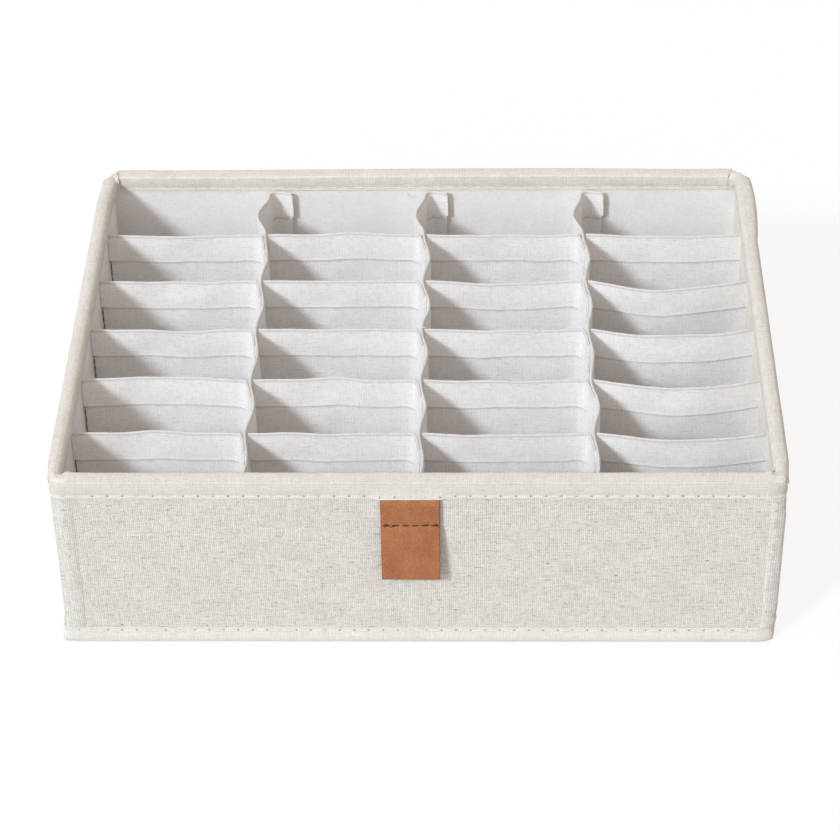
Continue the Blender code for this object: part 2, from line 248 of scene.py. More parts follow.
join(blend_values(0.35, between(yarn_tone, 0.3, 0.7), crossing), give["Tone"])
for mark, scale, weft, warp in (
        ("Slub", 0.9, ((0.12, 0.9, 1.0), 0.6, 0.7), ((0.9, 0.16, 1.0), 0.64, 0.74)),
        ("Dash", 1.0, ((0.20, 1.0, 1.0), 0.38, 0.30), ((1.0, 0.3, 1.0), 0.34, 0.27))):
    marks = [between(stretched_noise(counted, stretch, scale, 1.0), low, high)
             for stretch, low, high in (weft, warp)]
    join(calc("MAXIMUM", *marks), give[mark])
fleck_place = vector("MULTIPLY", got["Cloth"], (0.6, 1.0, 1.0))
fleck_scale = calc("DIVIDE", 1.0, got["Fleck Spacing"])
cells = add(weave, "ShaderNodeTexVoronoi", {"Vector": fleck_place, "Scale": fleck_scale}).outputs
luck = add(weave, "ShaderNodeSeparateXYZ", {0: cells[1]}).outputs[0]
fleck_edge = calc("SUBTRACT", between(luck, 0.35, 1.0, 0.0, 0.085), cells[0])
join(between(fleck_edge, 0.0, 0.02), give["Fleck"])
print("weave group:", len(weave.nodes), "nodes")

# %% [markdown]
# ## Cloth finishes
# Canvas, lining, divider cloth and tape are all plain weaves with other yarns, so one function
# builds them from the same group with their own pitch and colours. Cloth scatters light and has
# nearly no gloss, so the roughness is high, the specular level low, and a little sheen stands for
# the fuzz on the yarn.

# %% Cloth materials
def base_material(name):
    material = bpy.data.materials.new(name)
    material.use_nodes = True
    tree = material.node_tree
    return material, tree, tree.nodes["Principled BSDF"]


def fill_shader(shader, colour, rough, height, relief, specular):
    """Links what a surface shows. The relief is the depth, in metres, of a height of 1."""
    bump = add(shader.id_data, "ShaderNodeBump", {"Height": height, "Distance": relief})
    for label, output in (("Base Color", colour), ("Roughness", rough), ("Normal", bump.outputs[0])):
        join(output, shader.inputs[label])
    shader.inputs["Specular IOR Level"].default_value = specular


def cloth_material(name, pitch, yarns, slub_colour, relief, mottle, uneven,
                   fleck_share=0.0, dash_share=0.25, rib_share=0.3, lines=(), needle_line=None):
    """A plain weave. The yarns are a darker and a lighter colour. Lines are painted shade, darker
    lines across the cloth, each with its place, half width and share, and the needle line is a row of
    holes painted dark for the shade in them."""
    material, tree, shader = base_material(name)
    cloth = add(tree, "ShaderNodeAttribute", attribute_name="cloth").outputs["Vector"]
    values = {"Cloth": cloth, "Pitch": pitch, "Uneven": uneven, "Fleck Spacing": FLECK_SPACING}
    woven = add(tree, "ShaderNodeGroup", values, node_tree=weave).outputs
    wide = cloudy(cloth, 70.0, 4.0)[0]
    share = calc("MULTIPLY_ADD", between(wide, 0.3, 0.7), mottle, 0.0)
    share = calc("MULTIPLY_ADD", woven["Tone"], 1.0 - mottle, share)
    colour = blend_colours(share, *yarns)
    colour = blend_colours(calc("MULTIPLY", woven["Slub"], 0.6), colour, slub_colour)
    # Painted shade: the gaps and the lines between threads are darkened for the shade that falls
    # between them.
    rib_shade = calc("MULTIPLY", woven["Rib"], rib_share)
    thread_gap_shade = calc("MAXIMUM", calc("MULTIPLY", woven["Gap"], 0.5), rib_shade)
    colour = blend_colours(thread_gap_shade, colour, [value * 0.72 for value in yarns[0]])
    dashes = calc("MULTIPLY", woven["Dash"], dash_share)
    colour = blend_colours(dashes, colour, [value * 0.55 for value in yarns[0]])
    colour = blend_colours(calc("MULTIPLY", woven["Fleck"], fleck_share), colour, FLECK_COLOUR)
    along, across = add(tree, "ShaderNodeSeparateXYZ", {0: cloth}).outputs[:2]
    wander = calc("MULTIPLY_ADD", cloudy(cloth, 60.0, 1.0)[0], 0.5 * MM, -0.25 * MM)
    # Painted shade: each line darkens the cloth along a fold or under a hem edge.
    for place, half_width, depth in lines:
        away = calc("ABSOLUTE", calc("SUBTRACT", calc("ADD", across, wander), place))
        shade_line_mask = between(away, 0.4 * half_width, half_width, depth, 0.0)
        colour = blend_colours(shade_line_mask, colour, SHADE_LINE_COLOUR)
    # Painted shade: the needle holes are dark dots for the shade inside them.
    if needle_line is not None:
        turn = calc("MULTIPLY", along, 2 * math.pi / STITCH_PITCH)
        near = calc("MULTIPLY", between(calc("COSINE", turn), 0.90, 0.98), between(wide, 0.38, 0.5))
        away = calc("ABSOLUTE", calc("SUBTRACT", across, needle_line))
        needle_hole_shade = calc("MULTIPLY", near, between(away, 0.25 * MM, 0.6 * MM, 0.8, 0.0))
        colour = blend_colours(needle_hole_shade, colour, HOLE_SHADE_COLOUR)
    rough = calc("MULTIPLY_ADD", woven["Tone"], 0.08, 0.86)
    height = calc("MULTIPLY_ADD", woven["Slub"], 0.6, woven["Height"])
    fill_shader(shader, colour, rough, height, relief, 0.2)
    shader.inputs["Sheen Weight"].default_value = 0.1
    shader.inputs["Sheen Roughness"].default_value = 0.6
    return material


FLECK_SPACING = 6 * MM
FLECK_COLOUR = (0.22, 0.16, 0.09)
# Colour of the painted shade lines.
SHADE_LINE_COLOUR = (0.30, 0.27, 0.25)
HOLE_SHADE_COLOUR = (0.18, 0.14, 0.10)
CREAM = (0.86, 0.835, 0.77)
WHITE = (0.93, 0.915, 0.905)
FOLD_PLACE = DIVIDER_TOP - DIVIDER_LOW + 0.4 * MM
HEM_PLACE = DIVIDER_TOP - HEM_DEPTH - DIVIDER_LOW
# Painted shade: places of darker lines along the outer and inner folds of the front and back rim
# tape, to dim the light that the folds catch.
OUTER_FOLD_SHADE = RIM_OUTER_LEG - TAPE / 2 - 0.1 * MM
INNER_FOLD_SHADE = 22.7 * MM - (RIM_INNER_LEG - TAPE / 2) + 0.2 * MM
TAPE_WEAVE = {"mottle": 0.2, "uneven": 0.35, "dash_share": 0.2, "rib_share": 0.4,
              "needle_line": STITCH_LINE}
canvas_finish = cloth_material(
    "natural_canvas", 0.86 * MM, ((0.60, 0.58, 0.53), (0.91, 0.885, 0.835)),
    CREAM, 0.16 * MM, 0.12, 0.35, fleck_share=0.8, dash_share=0.5, rib_share=0.55)
lining_finish = cloth_material(
    "lining_cloth", 0.5 * MM, ((0.80, 0.785, 0.775), (0.96, 0.95, 0.945)),
    WHITE, 0.07 * MM, 0.3, 0.5)
# Painted shade and tint: a darker, warmer copy of the lining for the right wall, which faces the cool
# lamp.
lamp_side_lining_painted_shade_finish = cloth_material(
    "lamp_side_lining_painted_shade_cloth", 0.5 * MM, ((0.80, 0.74, 0.665), (0.90, 0.84, 0.765)),
    CREAM, 0.07 * MM, 0.3, 0.5)
# Painted shade: the divider cloth has a dark line just below the hem's edge, for the shade under it,
# and one along the top fold, to dim the light that the fold catches.
divider_finish = cloth_material(
    "divider_cloth", 0.8 * MM, ((0.81, 0.795, 0.785), (0.975, 0.965, 0.96)),
    WHITE, 0.10 * MM, 0.15, 0.35, dash_share=0.3, rib_share=0.4,
    lines=((HEM_PLACE - 1.0 * MM, 0.85 * MM, 0.27), (FOLD_PLACE, 1.2 * MM, 0.34)))
tape_finish = cloth_material(
    "cotton_tape", 0.8 * MM, ((0.62, 0.60, 0.55), (0.84, 0.82, 0.765)),
    CREAM, 0.10 * MM, **TAPE_WEAVE)
# Painted light and shade: a lighter copy of the tape for the front and back rims, with the painted
# fold shade lines.
rim_tape_painted_light_and_shade_finish = cloth_material(
    "rim_tape_painted_light_and_shade", 0.8 * MM, ((0.645, 0.625, 0.57), (0.875, 0.855, 0.795)),
    CREAM, 0.10 * MM, lines=((OUTER_FOLD_SHADE, 0.9 * MM, 0.15), (INNER_FOLD_SHADE, 0.9 * MM, 0.09)),
    **TAPE_WEAVE)
# Painted light: a lighter copy of the tape for the lower edge, for the light that the floor throws on
# it.
edge_tape_painted_light_finish = cloth_material(
    "edge_tape_painted_light", 0.8 * MM, ((0.68, 0.665, 0.62), (0.90, 0.88, 0.83)),
    CREAM, 0.10 * MM, **TAPE_WEAVE)
finishes = (canvas_finish, lining_finish, divider_finish, tape_finish)
print("cloth finishes:", [finish.name for finish in finishes])

# %% [markdown]
# ## Leather, its cut edge, threads and board
# The tab is smooth-grained tan leather. Its grain is a net of fine creases round small pads, which
# a Voronoi pattern gives, with a cloudy tone from the tanning. The cut edge is burnished dark.
# Sewing thread is twisted cotton. The boards inside the walls are grey board, pressed from fibres.

# %% Grain group and the other materials
grain, got, give = start_group("grain", ["Place"], ["Size"], ["Height", "Cloud", "Crease", "Fine"])
bend = vector("SCALE", cloudy(got["Place"], 900.0, 2.0)[1], 0.4 * MM, SCALE_SOCKET)
values = {"Vector": vector("ADD", got["Place"], bend), "Scale": calc("DIVIDE", 1.0, got["Size"])}
pads = add(grain, "ShaderNodeTexVoronoi", values, feature="DISTANCE_TO_EDGE").outputs[0]
crease = between(pads, 0.0, 0.16, 1.0, 0.0)
fine = cloudy(got["Place"], 2600.0, 4.0)[0]
cloud = cloudy(got["Place"], 130.0, 5.0)[0]
join(between(fine, 0.35, 0.65), give["Fine"])
join(calc("MULTIPLY_ADD", fine, 0.9, calc("MULTIPLY", crease, -0.5)), give["Height"])
join(crease, give["Crease"])
join(between(cloud, 0.3, 0.7), give["Cloud"])


def grained_material(name, size, colours, crease_colour, relief, roughness, crease_share=0.4):
    """A pressed or tanned surface on Object coordinates."""
    material, tree, shader = base_material(name)
    values = {"Place": add(tree, "ShaderNodeTexCoord").outputs["Object"], "Size": size}
    made = add(tree, "ShaderNodeGroup", values, node_tree=grain).outputs
    tone = calc("MULTIPLY_ADD", made["Cloud"], 0.35, calc("MULTIPLY", made["Fine"], 0.65))
    creases = calc("MULTIPLY", made["Crease"], crease_share)
    colour = blend_colours(creases, blend_colours(tone, *colours), crease_colour)
    rough = calc("MULTIPLY_ADD", made["Cloud"], 0.12, roughness)
    fill_shader(shader, colour, rough, made["Height"], relief, 0.3)
    return material


leather_finish = grained_material(
    "tan_leather", 0.7 * MM, ((0.29, 0.108, 0.043), (0.575, 0.235, 0.102)),
    (0.25, 0.085, 0.033), 0.10 * MM, 0.5, 0.5)
edge_finish = grained_material(
    "leather_edge", 0.3 * MM, ((0.10, 0.030, 0.012), (0.17, 0.055, 0.022)),
    (0.07, 0.02, 0.01), 0.05 * MM, 0.55)
board_finish = grained_material(
    "grey_board", 0.9 * MM, ((0.36, 0.31, 0.25), (0.46, 0.40, 0.32)),
    (0.30, 0.25, 0.20), 0.03 * MM, 0.8, 0.3)
thread_finish = grained_material(
    "cotton_thread", 0.25 * MM, ((0.84, 0.80, 0.71), (0.90, 0.87, 0.79)),
    (0.72, 0.66, 0.56), 0.06 * MM, 0.8)
brown_thread_finish = grained_material(
    "brown_thread", 0.25 * MM, ((0.060, 0.022, 0.012), (0.10, 0.036, 0.018)),
    (0.03, 0.012, 0.008), 0.06 * MM, 0.6)
# Painted shade: dark thread for the stitches that stand in for the shaded slits at the panel ends.
seam_shadow_thread_finish = grained_material(
    "seam_shadow_thread", 0.25 * MM, ((0.16, 0.14, 0.12), (0.24, 0.21, 0.18)),
    (0.10, 0.085, 0.07), 0.06 * MM, 0.8)
print("grain group:", len(grain.nodes), "nodes")

# %% [markdown]
# ## Mesh helpers
# Every cloth piece starts as one face, the cross-section of the folded cloth, and is pulled along
# its run and round its corners. Extrude does this well: it keeps the mesh closed and copies the
# cloth coordinates, and only the length of cloth used has to be added at each step.

# %% Outlines and extrusions
def arc(centre, radius, start, end, steps):
    """Points of an arc, both ends included."""
    angles = [start + (end - start) * step / steps for step in range(steps + 1)]
    return [(centre[0] + radius * math.cos(a), centre[1] + radius * math.sin(a)) for a in angles]


def straight(first, last, steps):
    """Points of a straight line, both ends included."""
    a, b = Vector(first), Vector(last)
    return [tuple(a.lerp(b, step / steps)) for step in range(steps + 1)]


def ribbon(path, thickness):
    """The closed outline of cloth that follows a path: for each point its place in the section
    and how far it lies along the cloth."""
    points = [Vector(point) for point in path]
    left, right, reached = [], [], 0.0
    for index, point in enumerate(points):
        before = points[max(index - 1, 0)]
        after = points[min(index + 1, len(points) - 1)]
        along = (after - before).normalized()
        across = Vector((-along.y, along.x)) * thickness / 2
        if index:
            reached += (point - before).length
        left.append((*(point + across), reached))
        right.append((*(point - across), reached))
    return left + right[::-1]


def cloth_layer(bm):
    return bm.verts.layers.float_vector["cloth"]


def start_piece(outline, place):
    """A new piece and its first face, from an outline that a function places in space."""
    bm = bmesh.new()
    cloth = bm.verts.layers.float_vector.new("cloth")
    verts = []
    for u, v, across in outline:
        verts.append(bm.verts.new(place(u, v)))
        verts[-1][cloth] = Vector((0, across, 0))
    return bm, bm.faces.new(verts)


def push(bm, face, move):
    """Extrudes a face once and moves its new end by a transform."""
    made = bmesh.ops.extrude_face_region(bm, geom=[face, *face.edges])["geom"]
    end = next(item for item in made if isinstance(item, bmesh.types.BMFace))
    bmesh.ops.transform(bm, matrix=move, verts=end.verts[:])
    return end


def pull(bm, face, step, used, times=1):
    """Extrudes a face several times, and adds the length of cloth that each step uses."""
    cloth = cloth_layer(bm)
    for _ in range(times):
        face = push(bm, face, step)
        for vert in face.verts:
            vert[cloth] = vert[cloth] + Vector((used, 0, 0))
    return face


def pull_straight(bm, face, run, step_length):
    """Pulls a face along a straight run, then cuts the run into steps of about a given length."""
    run = Vector(run)
    far = pull(bm, face, Matrix.Translation(run), run.length)
    ends = far.verts[:]
    sides = [edge for vert in ends for edge in vert.link_edges if edge.other_vert(vert) not in ends]
    cuts = max(1, round(run.length / step_length)) - 1
    if cuts:
        bmesh.ops.subdivide_edges(bm, edges=sides, cuts=cuts, use_grid_fill=True)
    return far


def pull_round(bm, face, centre, angle, radius, times, sign=1):
    """Pulls a face round an upright axis. The sign is -1 where the cloth coordinate falls."""
    there = Matrix.Translation((*centre, 0))
    step = there @ Matrix.Rotation(angle / times, 4, "Z") @ there.inverted()
    return pull(bm, face, step, sign * abs(angle) * radius / times, times)


def side_sizes(side):
    """Half the length of a wall and its distance from the middle, over the canvas."""
    return (BODY_X, BODY_Y) if side in ("front", "back") else (BODY_Y, BODY_X)


def turn_to_side(bm, side):
    """Moves a piece that was made on the front wall round to its own wall."""
    turn = Matrix.Rotation(SIDES[side] * math.pi / 2, 3, "Z")
    bmesh.ops.rotate(bm, verts=bm.verts[:], cent=Vector(), matrix=turn)


# %% [markdown]
# ## Soft shapes
# Sewn cloth has no hard steps, so each dent and bulge fades in and out along a smooth curve. Every
# corner of the tray is drawn in or out by its own amount, because no two are sewn alike.

# %% Soft shapes and the corners
def share_of(value, low, high):
    """Where a value lies from low, which gives 0, to high, which gives 1."""
    return min(max((value - low) / (high - low), 0), 1)


def ramp(value, low, high):
    """Goes softly from 0 at low to 1 at high, and stays there."""
    share = share_of(value, low, high)
    return share * share * (3 - 2 * share)


def hump(value, low, high):
    """Rises from 0 at low to 1 in the middle and falls to 0 at high."""
    return max(0.0, math.sin(math.pi * share_of(value, low, high)))


def ripple(place, size, seed=0.0):
    """Smooth noise from about -1 to 1, with waves of a given size."""
    return noise.noise(Vector(place) / size + Vector((seed, 7.3 * seed, 0)))


BASE_BAND = (8 * MM, 20 * MM)
RIM_BAND = (72 * MM, 86 * MM)
RIGHT_BULGE = 1.7 * MM
BULGE_RUN = (62 * MM, 122 * MM)
LEFT_DENT = 1.0 * MM
DENT_RUN = (92 * MM, 118 * MM)
BACK_DRAW = (2.6 * MM, 1.8 * MM, 0.5 * MM)
RIM_PINCH = 1.1
BASE_PINCH = 1.3


def square_corner(vert):
    """Draws a corner out towards a square, or rounds it in where its share is below zero. Each
    corner has a share at the base, at the wall and at the rim."""
    x, y, z = vert.co
    out_x = abs(x) - (BODY_X - CORNER_RADIUS)
    out_y = abs(y) - (BODY_Y - CORNER_RADIUS)
    if out_x > 0 and out_y > 0:
        corner = ("back" if y > 0 else "front") + ("_right" if x > 0 else "_left")
        at_base, at_wall, at_rim = CORNER_SHARES[corner]
        share = at_base + (at_wall - at_base) * ramp(z, *BASE_BAND)
        share += (at_rim - at_wall) * ramp(z, *RIM_BAND)
        factor = share * (math.hypot(out_x, out_y) / max(out_x, out_y) - 1)
        vert.co.x += math.copysign(out_x * factor, x)
        vert.co.y += math.copysign(out_y * factor, y)


def shape_corners(bm):
    """Squares the corners, bulges the right wall, dents the left one near the back, draws the rim
    in at the back corners and pinches the front ones."""
    for vert in bm.verts:
        x, y, z = vert.co
        square_corner(vert)
        outer = ramp(x, INSIDE_X, BODY_X - CANVAS)
        vert.co.x += RIGHT_BULGE * outer * hump(y, *BULGE_RUN) * ramp(z, 0, HEIGHT)
        outer = ramp(max(abs(x) - INSIDE_X, abs(y) - INSIDE_Y), 0, WALL)
        if y > 0:
            near = ramp(abs(x), BODY_X - 6.8 * MM, BODY_X - 1.5 * MM) * outer
            near *= ramp(y, BODY_Y - 6.8 * MM, BODY_Y - 1.5 * MM) * ramp(z, 86 * MM, 93 * MM)
            vert.co.x -= math.copysign(BACK_DRAW[0] * near, x)
            vert.co.y -= BACK_DRAW[1] * near
            vert.co.z -= BACK_DRAW[2] * near
        else:
            near = ramp(abs(x), BODY_X - 11 * MM, BODY_X - 1 * MM) * outer
            near *= ramp(-y, BODY_Y - 18 * MM, BODY_Y - 4 * MM)
            at_rim = ramp(z, 79 * MM, 88 * MM)
            at_base = ramp(z, 12 * MM, 7 * MM) if x > 0 else 0
            vert.co.x -= math.copysign(near * (RIM_PINCH * at_rim + BASE_PINCH * at_base) * MM, x)
        if x < 2 * MM - INSIDE_X:
            vert.co.x += LEFT_DENT * ramp(y, *DENT_RUN) * ramp(z, *RIM_BAND)


# %% [markdown]
# ## Putting a piece in the scene
# A finished piece rides on a body of the imported model, stands for the solids that it replaces and
# takes the material slot of its kind.

# %% Finishing a piece
piece_count = {}


def put_in_scene(name, data):
    """An object in the scene for a mesh, a lamp or a camera."""
    obj = bpy.data.objects.new(name, data)
    bpy.context.scene.collection.objects.link(obj)
    return obj


def make_mesh(name, bm):
    """Turns a bmesh into a mesh and puts it in the scene."""
    mesh = bpy.data.meshes.new(name)
    bm.to_mesh(mesh)
    bm.free()
    return put_in_scene(name, mesh), mesh


def finish_piece(name, bm, finishes, replaced=(), body="tray", smooth_angle=50):
    """Gives a piece its materials and its place in the model."""
    bmesh.ops.recalc_face_normals(bm, faces=bm.faces[:])
    obj, mesh = make_mesh(name, bm)
    mesh.shade_smooth()
    mesh.set_sharp_from_angle(angle=math.radians(smooth_angle))
    for finish in finishes:
        mesh.materials.append(finish)
    if body:
        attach(obj, body)
    if replaced:
        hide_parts(*replaced)
    piece_count[name] = len(mesh.polygons)
    return obj


def count_faces(word):
    """The faces of all pieces whose names have a word in them."""
    return sum(count for name, count in piece_count.items() if word in name)


# %% [markdown]
# ## Canvas walls
# The front and back are flat panels. Each side panel runs round both of its corners, and its ends
# are sewn to the front and back in a rolled seam. Glued canvas is never quite flat, so the faces
# swell and sink by a fraction of a millimetre between the two tapes, but not under the tab.

# %% Canvas of the four walls
GRID = 3 * MM
CANVAS_WAVE = 0.25 * MM


def wall_sheet(side, inset, thickness, low, reach, grid):
    """A flat sheet along one wall, made at the front: the piece and the faces at its two ends."""
    distance = side_sizes(side)[1]
    middle = inset + thickness / 2
    path = straight((middle, low), (middle, CLOTH_TOP), round((CLOTH_TOP - low) / GRID))
    bm, first = start_piece(ribbon(path, thickness), lambda u, z: (-reach, -distance + u, z))
    return bm, first, pull_straight(bm, first, (2 * reach, 0, 0), grid)


def slacken_canvas(bm, side, distance):
    """Lets the canvas breathe between its tapes. Near the ends of the long walls the cloth gives
    along the wall, towards the corner."""
    for vert in bm.verts:
        x, y, z = vert.co
        free = hump(z, BASE_LEG, HEIGHT - RIM_OUTER_LEG) ** 0.5
        if side == "front":
            free *= 1 - hump(x, TAB_X - TAB_WIDTH, TAB_X + TAB_WIDTH)
        place = (x, z, SIDES[side])
        wave = ripple(place, 45 * MM) + 0.5 * ripple(place, 16 * MM, 3)
        way = Vector((0, -1, 0))
        if abs(x) > distance:
            way = Vector((x, y + distance - CORNER_RADIUS, 0)).normalized()
        vert.co += way * (wave + 0.25) * CANVAS_WAVE * free


for side in SIDES:
    half, distance = side_sizes(side)
    tangent = half - CORNER_RADIUS
    wraps = side in ("left", "right")
    reach = tangent if wraps else tangent - CLEARANCE
    bm, first, last = wall_sheet(side, 0, CANVAS, CANVAS_LOW, reach, GRID)
    slacken_canvas(bm, side, distance)
    if wraps:
        radius = CORNER_RADIUS - CANVAS / 2
        for face, way in ((last, 1), (first, -1)):
            centre = (way * tangent, -distance + CORNER_RADIUS)
            pull_round(bm, face, centre, way * math.pi / 2, radius, 8, way)
    turn_to_side(bm, side)
    shape_corners(bm)
    finish_piece(side + "_canvas_cloth", bm, [canvas_finish], [side + "_canvas"])
print("canvas faces", {k: v for k, v in piece_count.items() if "canvas" in k})

# %% [markdown]
# ## Lining
# The lining is glued to the boards and caught in the seams of the dividers, so it swells gently
# between two rows and is pulled in where a row is sewn to it. It is made as the canvas is.

# %% Lining of the walls and the floor
LINING_SWELL = {"front": 0.2 * MM, "back": 0.3 * MM, "left": 0.7 * MM, "right": 0.9 * MM}
LINING_GRID = 1.6 * MM


def swell_lining(bm, side):
    """Pillows between the seams. On the front's plan, inward is +y."""
    at_ends = side in ("left", "right")
    start, pitch = (-INSIDE_Y, ROW_PITCH) if at_ends else (-INSIDE_X, COLUMN_PITCH)
    for vert in bm.verts:
        x, _, z = vert.co
        pillow = math.sin(math.pi * ((x - start) / pitch % 1)) ** 0.6
        height = hump(z, LAYERS_LOW, HEIGHT - RIM_INNER_LEG) ** 0.6
        wave = 0.35 * ripple((x, z, SIDES[side]), 20 * MM, 5)
        vert.co.y += LINING_SWELL[side] * pillow * height * (1 + wave)


for side in SIDES:
    reach = INSIDE_X + CLEARANCE if side in ("front", "back") else INSIDE_Y + LINING
    bm, _, _ = wall_sheet(side, WALL - LINING, LINING, LAYERS_LOW, reach, LINING_GRID)
    swell_lining(bm, side)
    turn_to_side(bm, side)
    # The right wall gets the lining copy with painted shade and tint.
    finish = lamp_side_lining_painted_shade_finish if side == "right" else lining_finish
    finish_piece(side + "_lining_cloth", bm, [finish], [side + "_lining"])

floor_half_x = INSIDE_X - CLEARANCE
floor_half_y = INSIDE_Y - CLEARANCE
floor_z = LAYERS_LOW + LINING / 2
path = straight((-floor_half_y, floor_z), (floor_half_y, floor_z), 80)
bm, first = start_piece(ribbon(path, LINING), lambda y, z: (-floor_half_x, y, z))
pull_straight(bm, first, (2 * floor_half_x, 0, 0), GRID)
finish_piece("base_lining_cloth", bm, [lining_finish], ["base_lining"])
print("lining swells by", {side: round(value / MM, 1) for side, value in LINING_SWELL.items()}, "mm")

# %% [markdown]
# ## Base canvas
# The underside is one panel of the same canvas, with rounded corners, and it meets the turned
# tape. A cube, scaled flat, with its upright edges bevelled gives it. The panel is flat, so its
# cloth coordinates are simply x and y.

# %% Base canvas
BASE_OVERLAP = 0.6 * MM
base_half_x = BODY_X - CORNER_RADIUS + BASE_OVERLAP
base_half_y = BODY_Y - CORNER_RADIUS + BASE_OVERLAP
bm = bmesh.new()
cloth = bm.verts.layers.float_vector.new("cloth")
size = Matrix.Diagonal((2 * base_half_x, 2 * base_half_y, CANVAS, 1))
bmesh.ops.create_cube(bm, size=1, matrix=Matrix.Translation((0, 0, CANVAS / 2)) @ size)
upright = [edge for edge in bm.edges if abs(edge.verts[0].co.z - edge.verts[1].co.z) > CANVAS / 2]
bmesh.ops.bevel(bm, geom=upright, offset=BASE_OVERLAP, segments=4, affect="EDGES", profile=0.5,
                material=-1)
for vert in bm.verts:
    vert[cloth] = Vector((*vert.co.xy, 0))
finish_piece("base_canvas_cloth", bm, [canvas_finish], ["base_canvas"])
print("base canvas", round(2 * base_half_x, 4), "by", round(2 * base_half_y, 4))

# %% [markdown]
# ## Binding tape
# A cotton tape is folded over the rim and topstitched through all layers just above its lower
# edges. Between the stitches and the fold it stands off the wall and looks puffed, and each stitch
# pulls it in a little. The section is drawn as the tape's middle line, and the puckers are small
# moves of the finished mesh. The lower tape goes round the edge of the base in the same way.

# %% Tape sections
RIM_TURNS = {"front": 0.4 * MM, "right": 2.6 * MM, "back": 0.8 * MM, "left": 2.9 * MM}
RIM_TOP = HEIGHT - TAPE / 2
OUTER_LOW = HEIGHT - RIM_OUTER_LEG
INNER_LOW = HEIGHT - RIM_INNER_LEG
LEG_SHAPE = ((0.0, 0.64), (0.09, 0.52), (0.18, 0.46), (0.28, 0.54), (0.42, 0.70), (0.62, 0.82),
             (1.0, 0.86))
LEG_STAND = LEG_SHAPE[-1][1] * MM
CROWN = 0.12 * MM
PUCKER = 0.16 * MM
NEEDLE_REACH = 1.1 * MM
RIM_WAVE = 0.3 * MM
RIM_SWAY = 0.25 * MM
BACK_SWELL = 0.8 * MM
TAB_BULGE = 0.85 * MM
KNOBS = {-1: 0.7 * MM, 1: 1.3 * MM}
KNOB_SIZE = 2.2 * MM
KNOB_INSET = 7.2 * MM


def leg(low, top):
    """One leg of the tape: for each point how far it stands off the cloth, and its height."""
    return [(off * MM, low + share * (top - low)) for share, off in LEG_SHAPE]


def rim_path(turn, lift=0.0):
    """The middle line of the tape over the rim, from its outer to its inner edge. A lift makes
    it pass that much outside the plain one."""
    turn_z = RIM_TOP - turn
    outer = [(-off - lift, z) for off, z in leg(OUTER_LOW, turn_z)]
    inner = [(WALL + off + lift, z) for off, z in reversed(leg(INNER_LOW, turn_z))]
    left_turn = arc((turn - LEG_STAND, turn_z), turn + lift, math.pi, math.pi / 2, 7)
    right_turn = arc((WALL + LEG_STAND - turn, turn_z), turn + lift, math.pi / 2, 0, 7)
    crown = [(WALL / 2, RIM_TOP + lift + CROWN)]
    return outer[:-1] + left_turn + crown + right_turn + inner[1:]


def base_path():
    """The middle line of the tape round the lower edge, from its outer edge to under the base."""
    turn, stand = 1.4 * MM, 1.1 * MM
    outer = [(-0.56 * MM, BASE_LEG), (-0.45 * MM, BASE_LEG - STITCH_LINE), (-0.85 * MM, 5.2 * MM),
             (-stand, 3.4 * MM)]
    corner = arc((turn - stand, turn + TAPE / 2), turn, math.pi, 1.5 * math.pi, 8)
    return outer + corner[1:] + straight((1.6 * MM, TAPE / 2), (5.0 * MM, TAPE / 2), 3)


def pucker(bm, lines, side, distance):
    """Each stitch draws the tape in where the needle went through."""
    cloth = cloth_layer(bm)
    for vert in bm.verts:
        along, across, _ = vert[cloth]
        near = max(math.exp(-((across - line) / NEEDLE_REACH) ** 2) for line in lines)
        needle = 0.5 + 0.5 * math.cos(2 * math.pi * along / STITCH_PITCH)
        loose = ripple((along, across, SIDES[side]), 11 * MM, 2)
        inward = 1 if vert.co.y < -distance + WALL / 2 else -1
        vert.co.y += inward * PUCKER * (near * needle ** 3 + 0.5 * (1 - near) * loose)
        high = share_of(vert.co.z, OUTER_LOW, HEIGHT)
        place = (along, 0, SIDES[side])
        vert.co.z += RIM_WAVE * high * (ripple(place, 38 * MM, 6) + 0.5 * ripple(place, 13 * MM, 8))
        if side == "back":
            vert.co.z += BACK_SWELL * high * hump(vert.co.x, -120 * MM, 60 * MM)
        vert.co.y += RIM_SWAY * high * ripple((along, 5, SIDES[side]), 30 * MM, 9)


def cover_tab(bm):
    """The front tape bulges where the top of the leather tab is tucked under it."""
    half = TAB_WIDTH / 2
    for vert in bm.verts:
        x, y, z = vert.co
        if y < -BODY_Y + WALL / 2:
            over = ramp(abs(x - TAB_X), half + 3 * MM, half)
            vert.co.y -= TAB_BULGE * over * ramp(z, OUTER_LOW + 5 * MM, OUTER_LOW + 1 * MM)


def add_knobs(bm):
    """The front tape puckers where the ends of the side tapes are caught under it."""
    for end, rise in KNOBS.items():
        place = Vector((end * (BODY_X - KNOB_INSET), -BODY_Y + WALL + 0.5 * MM))
        for vert in bm.verts:
            away = (vert.co.xy - place).length / KNOB_SIZE
            near = math.exp(-away * away) * ramp(vert.co.z, 88 * MM, 93 * MM)
            crease = 1 + 1.2 * ripple(vert.co, 1.6 * MM, end)
            vert.co.z += rise * near * crease
            vert.co.y += 0.8 * rise * near


def round_ends(bm):
    """Lays the ends of the front tape down on the rounder side tapes that run in under them."""
    turn = RIM_TURNS["right"]
    for vert in bm.verts:
        x, y, z = vert.co
        past = abs(x) - (BODY_X - CORNER_RADIUS)
        depth = y + BODY_Y
        if past > 0:
            depth = CORNER_RADIUS - math.hypot(past, CORNER_RADIUS - depth)
        edge = max(0.0, min(depth + LEG_STAND, WALL + LEG_STAND - depth))
        if edge < turn:
            top = RIM_TOP - turn + math.sqrt(turn ** 2 - (turn - edge) ** 2) + TAPE
            vert.co.z += (min(z, top) - z) * ramp(past, -3 * MM, 3 * MM)


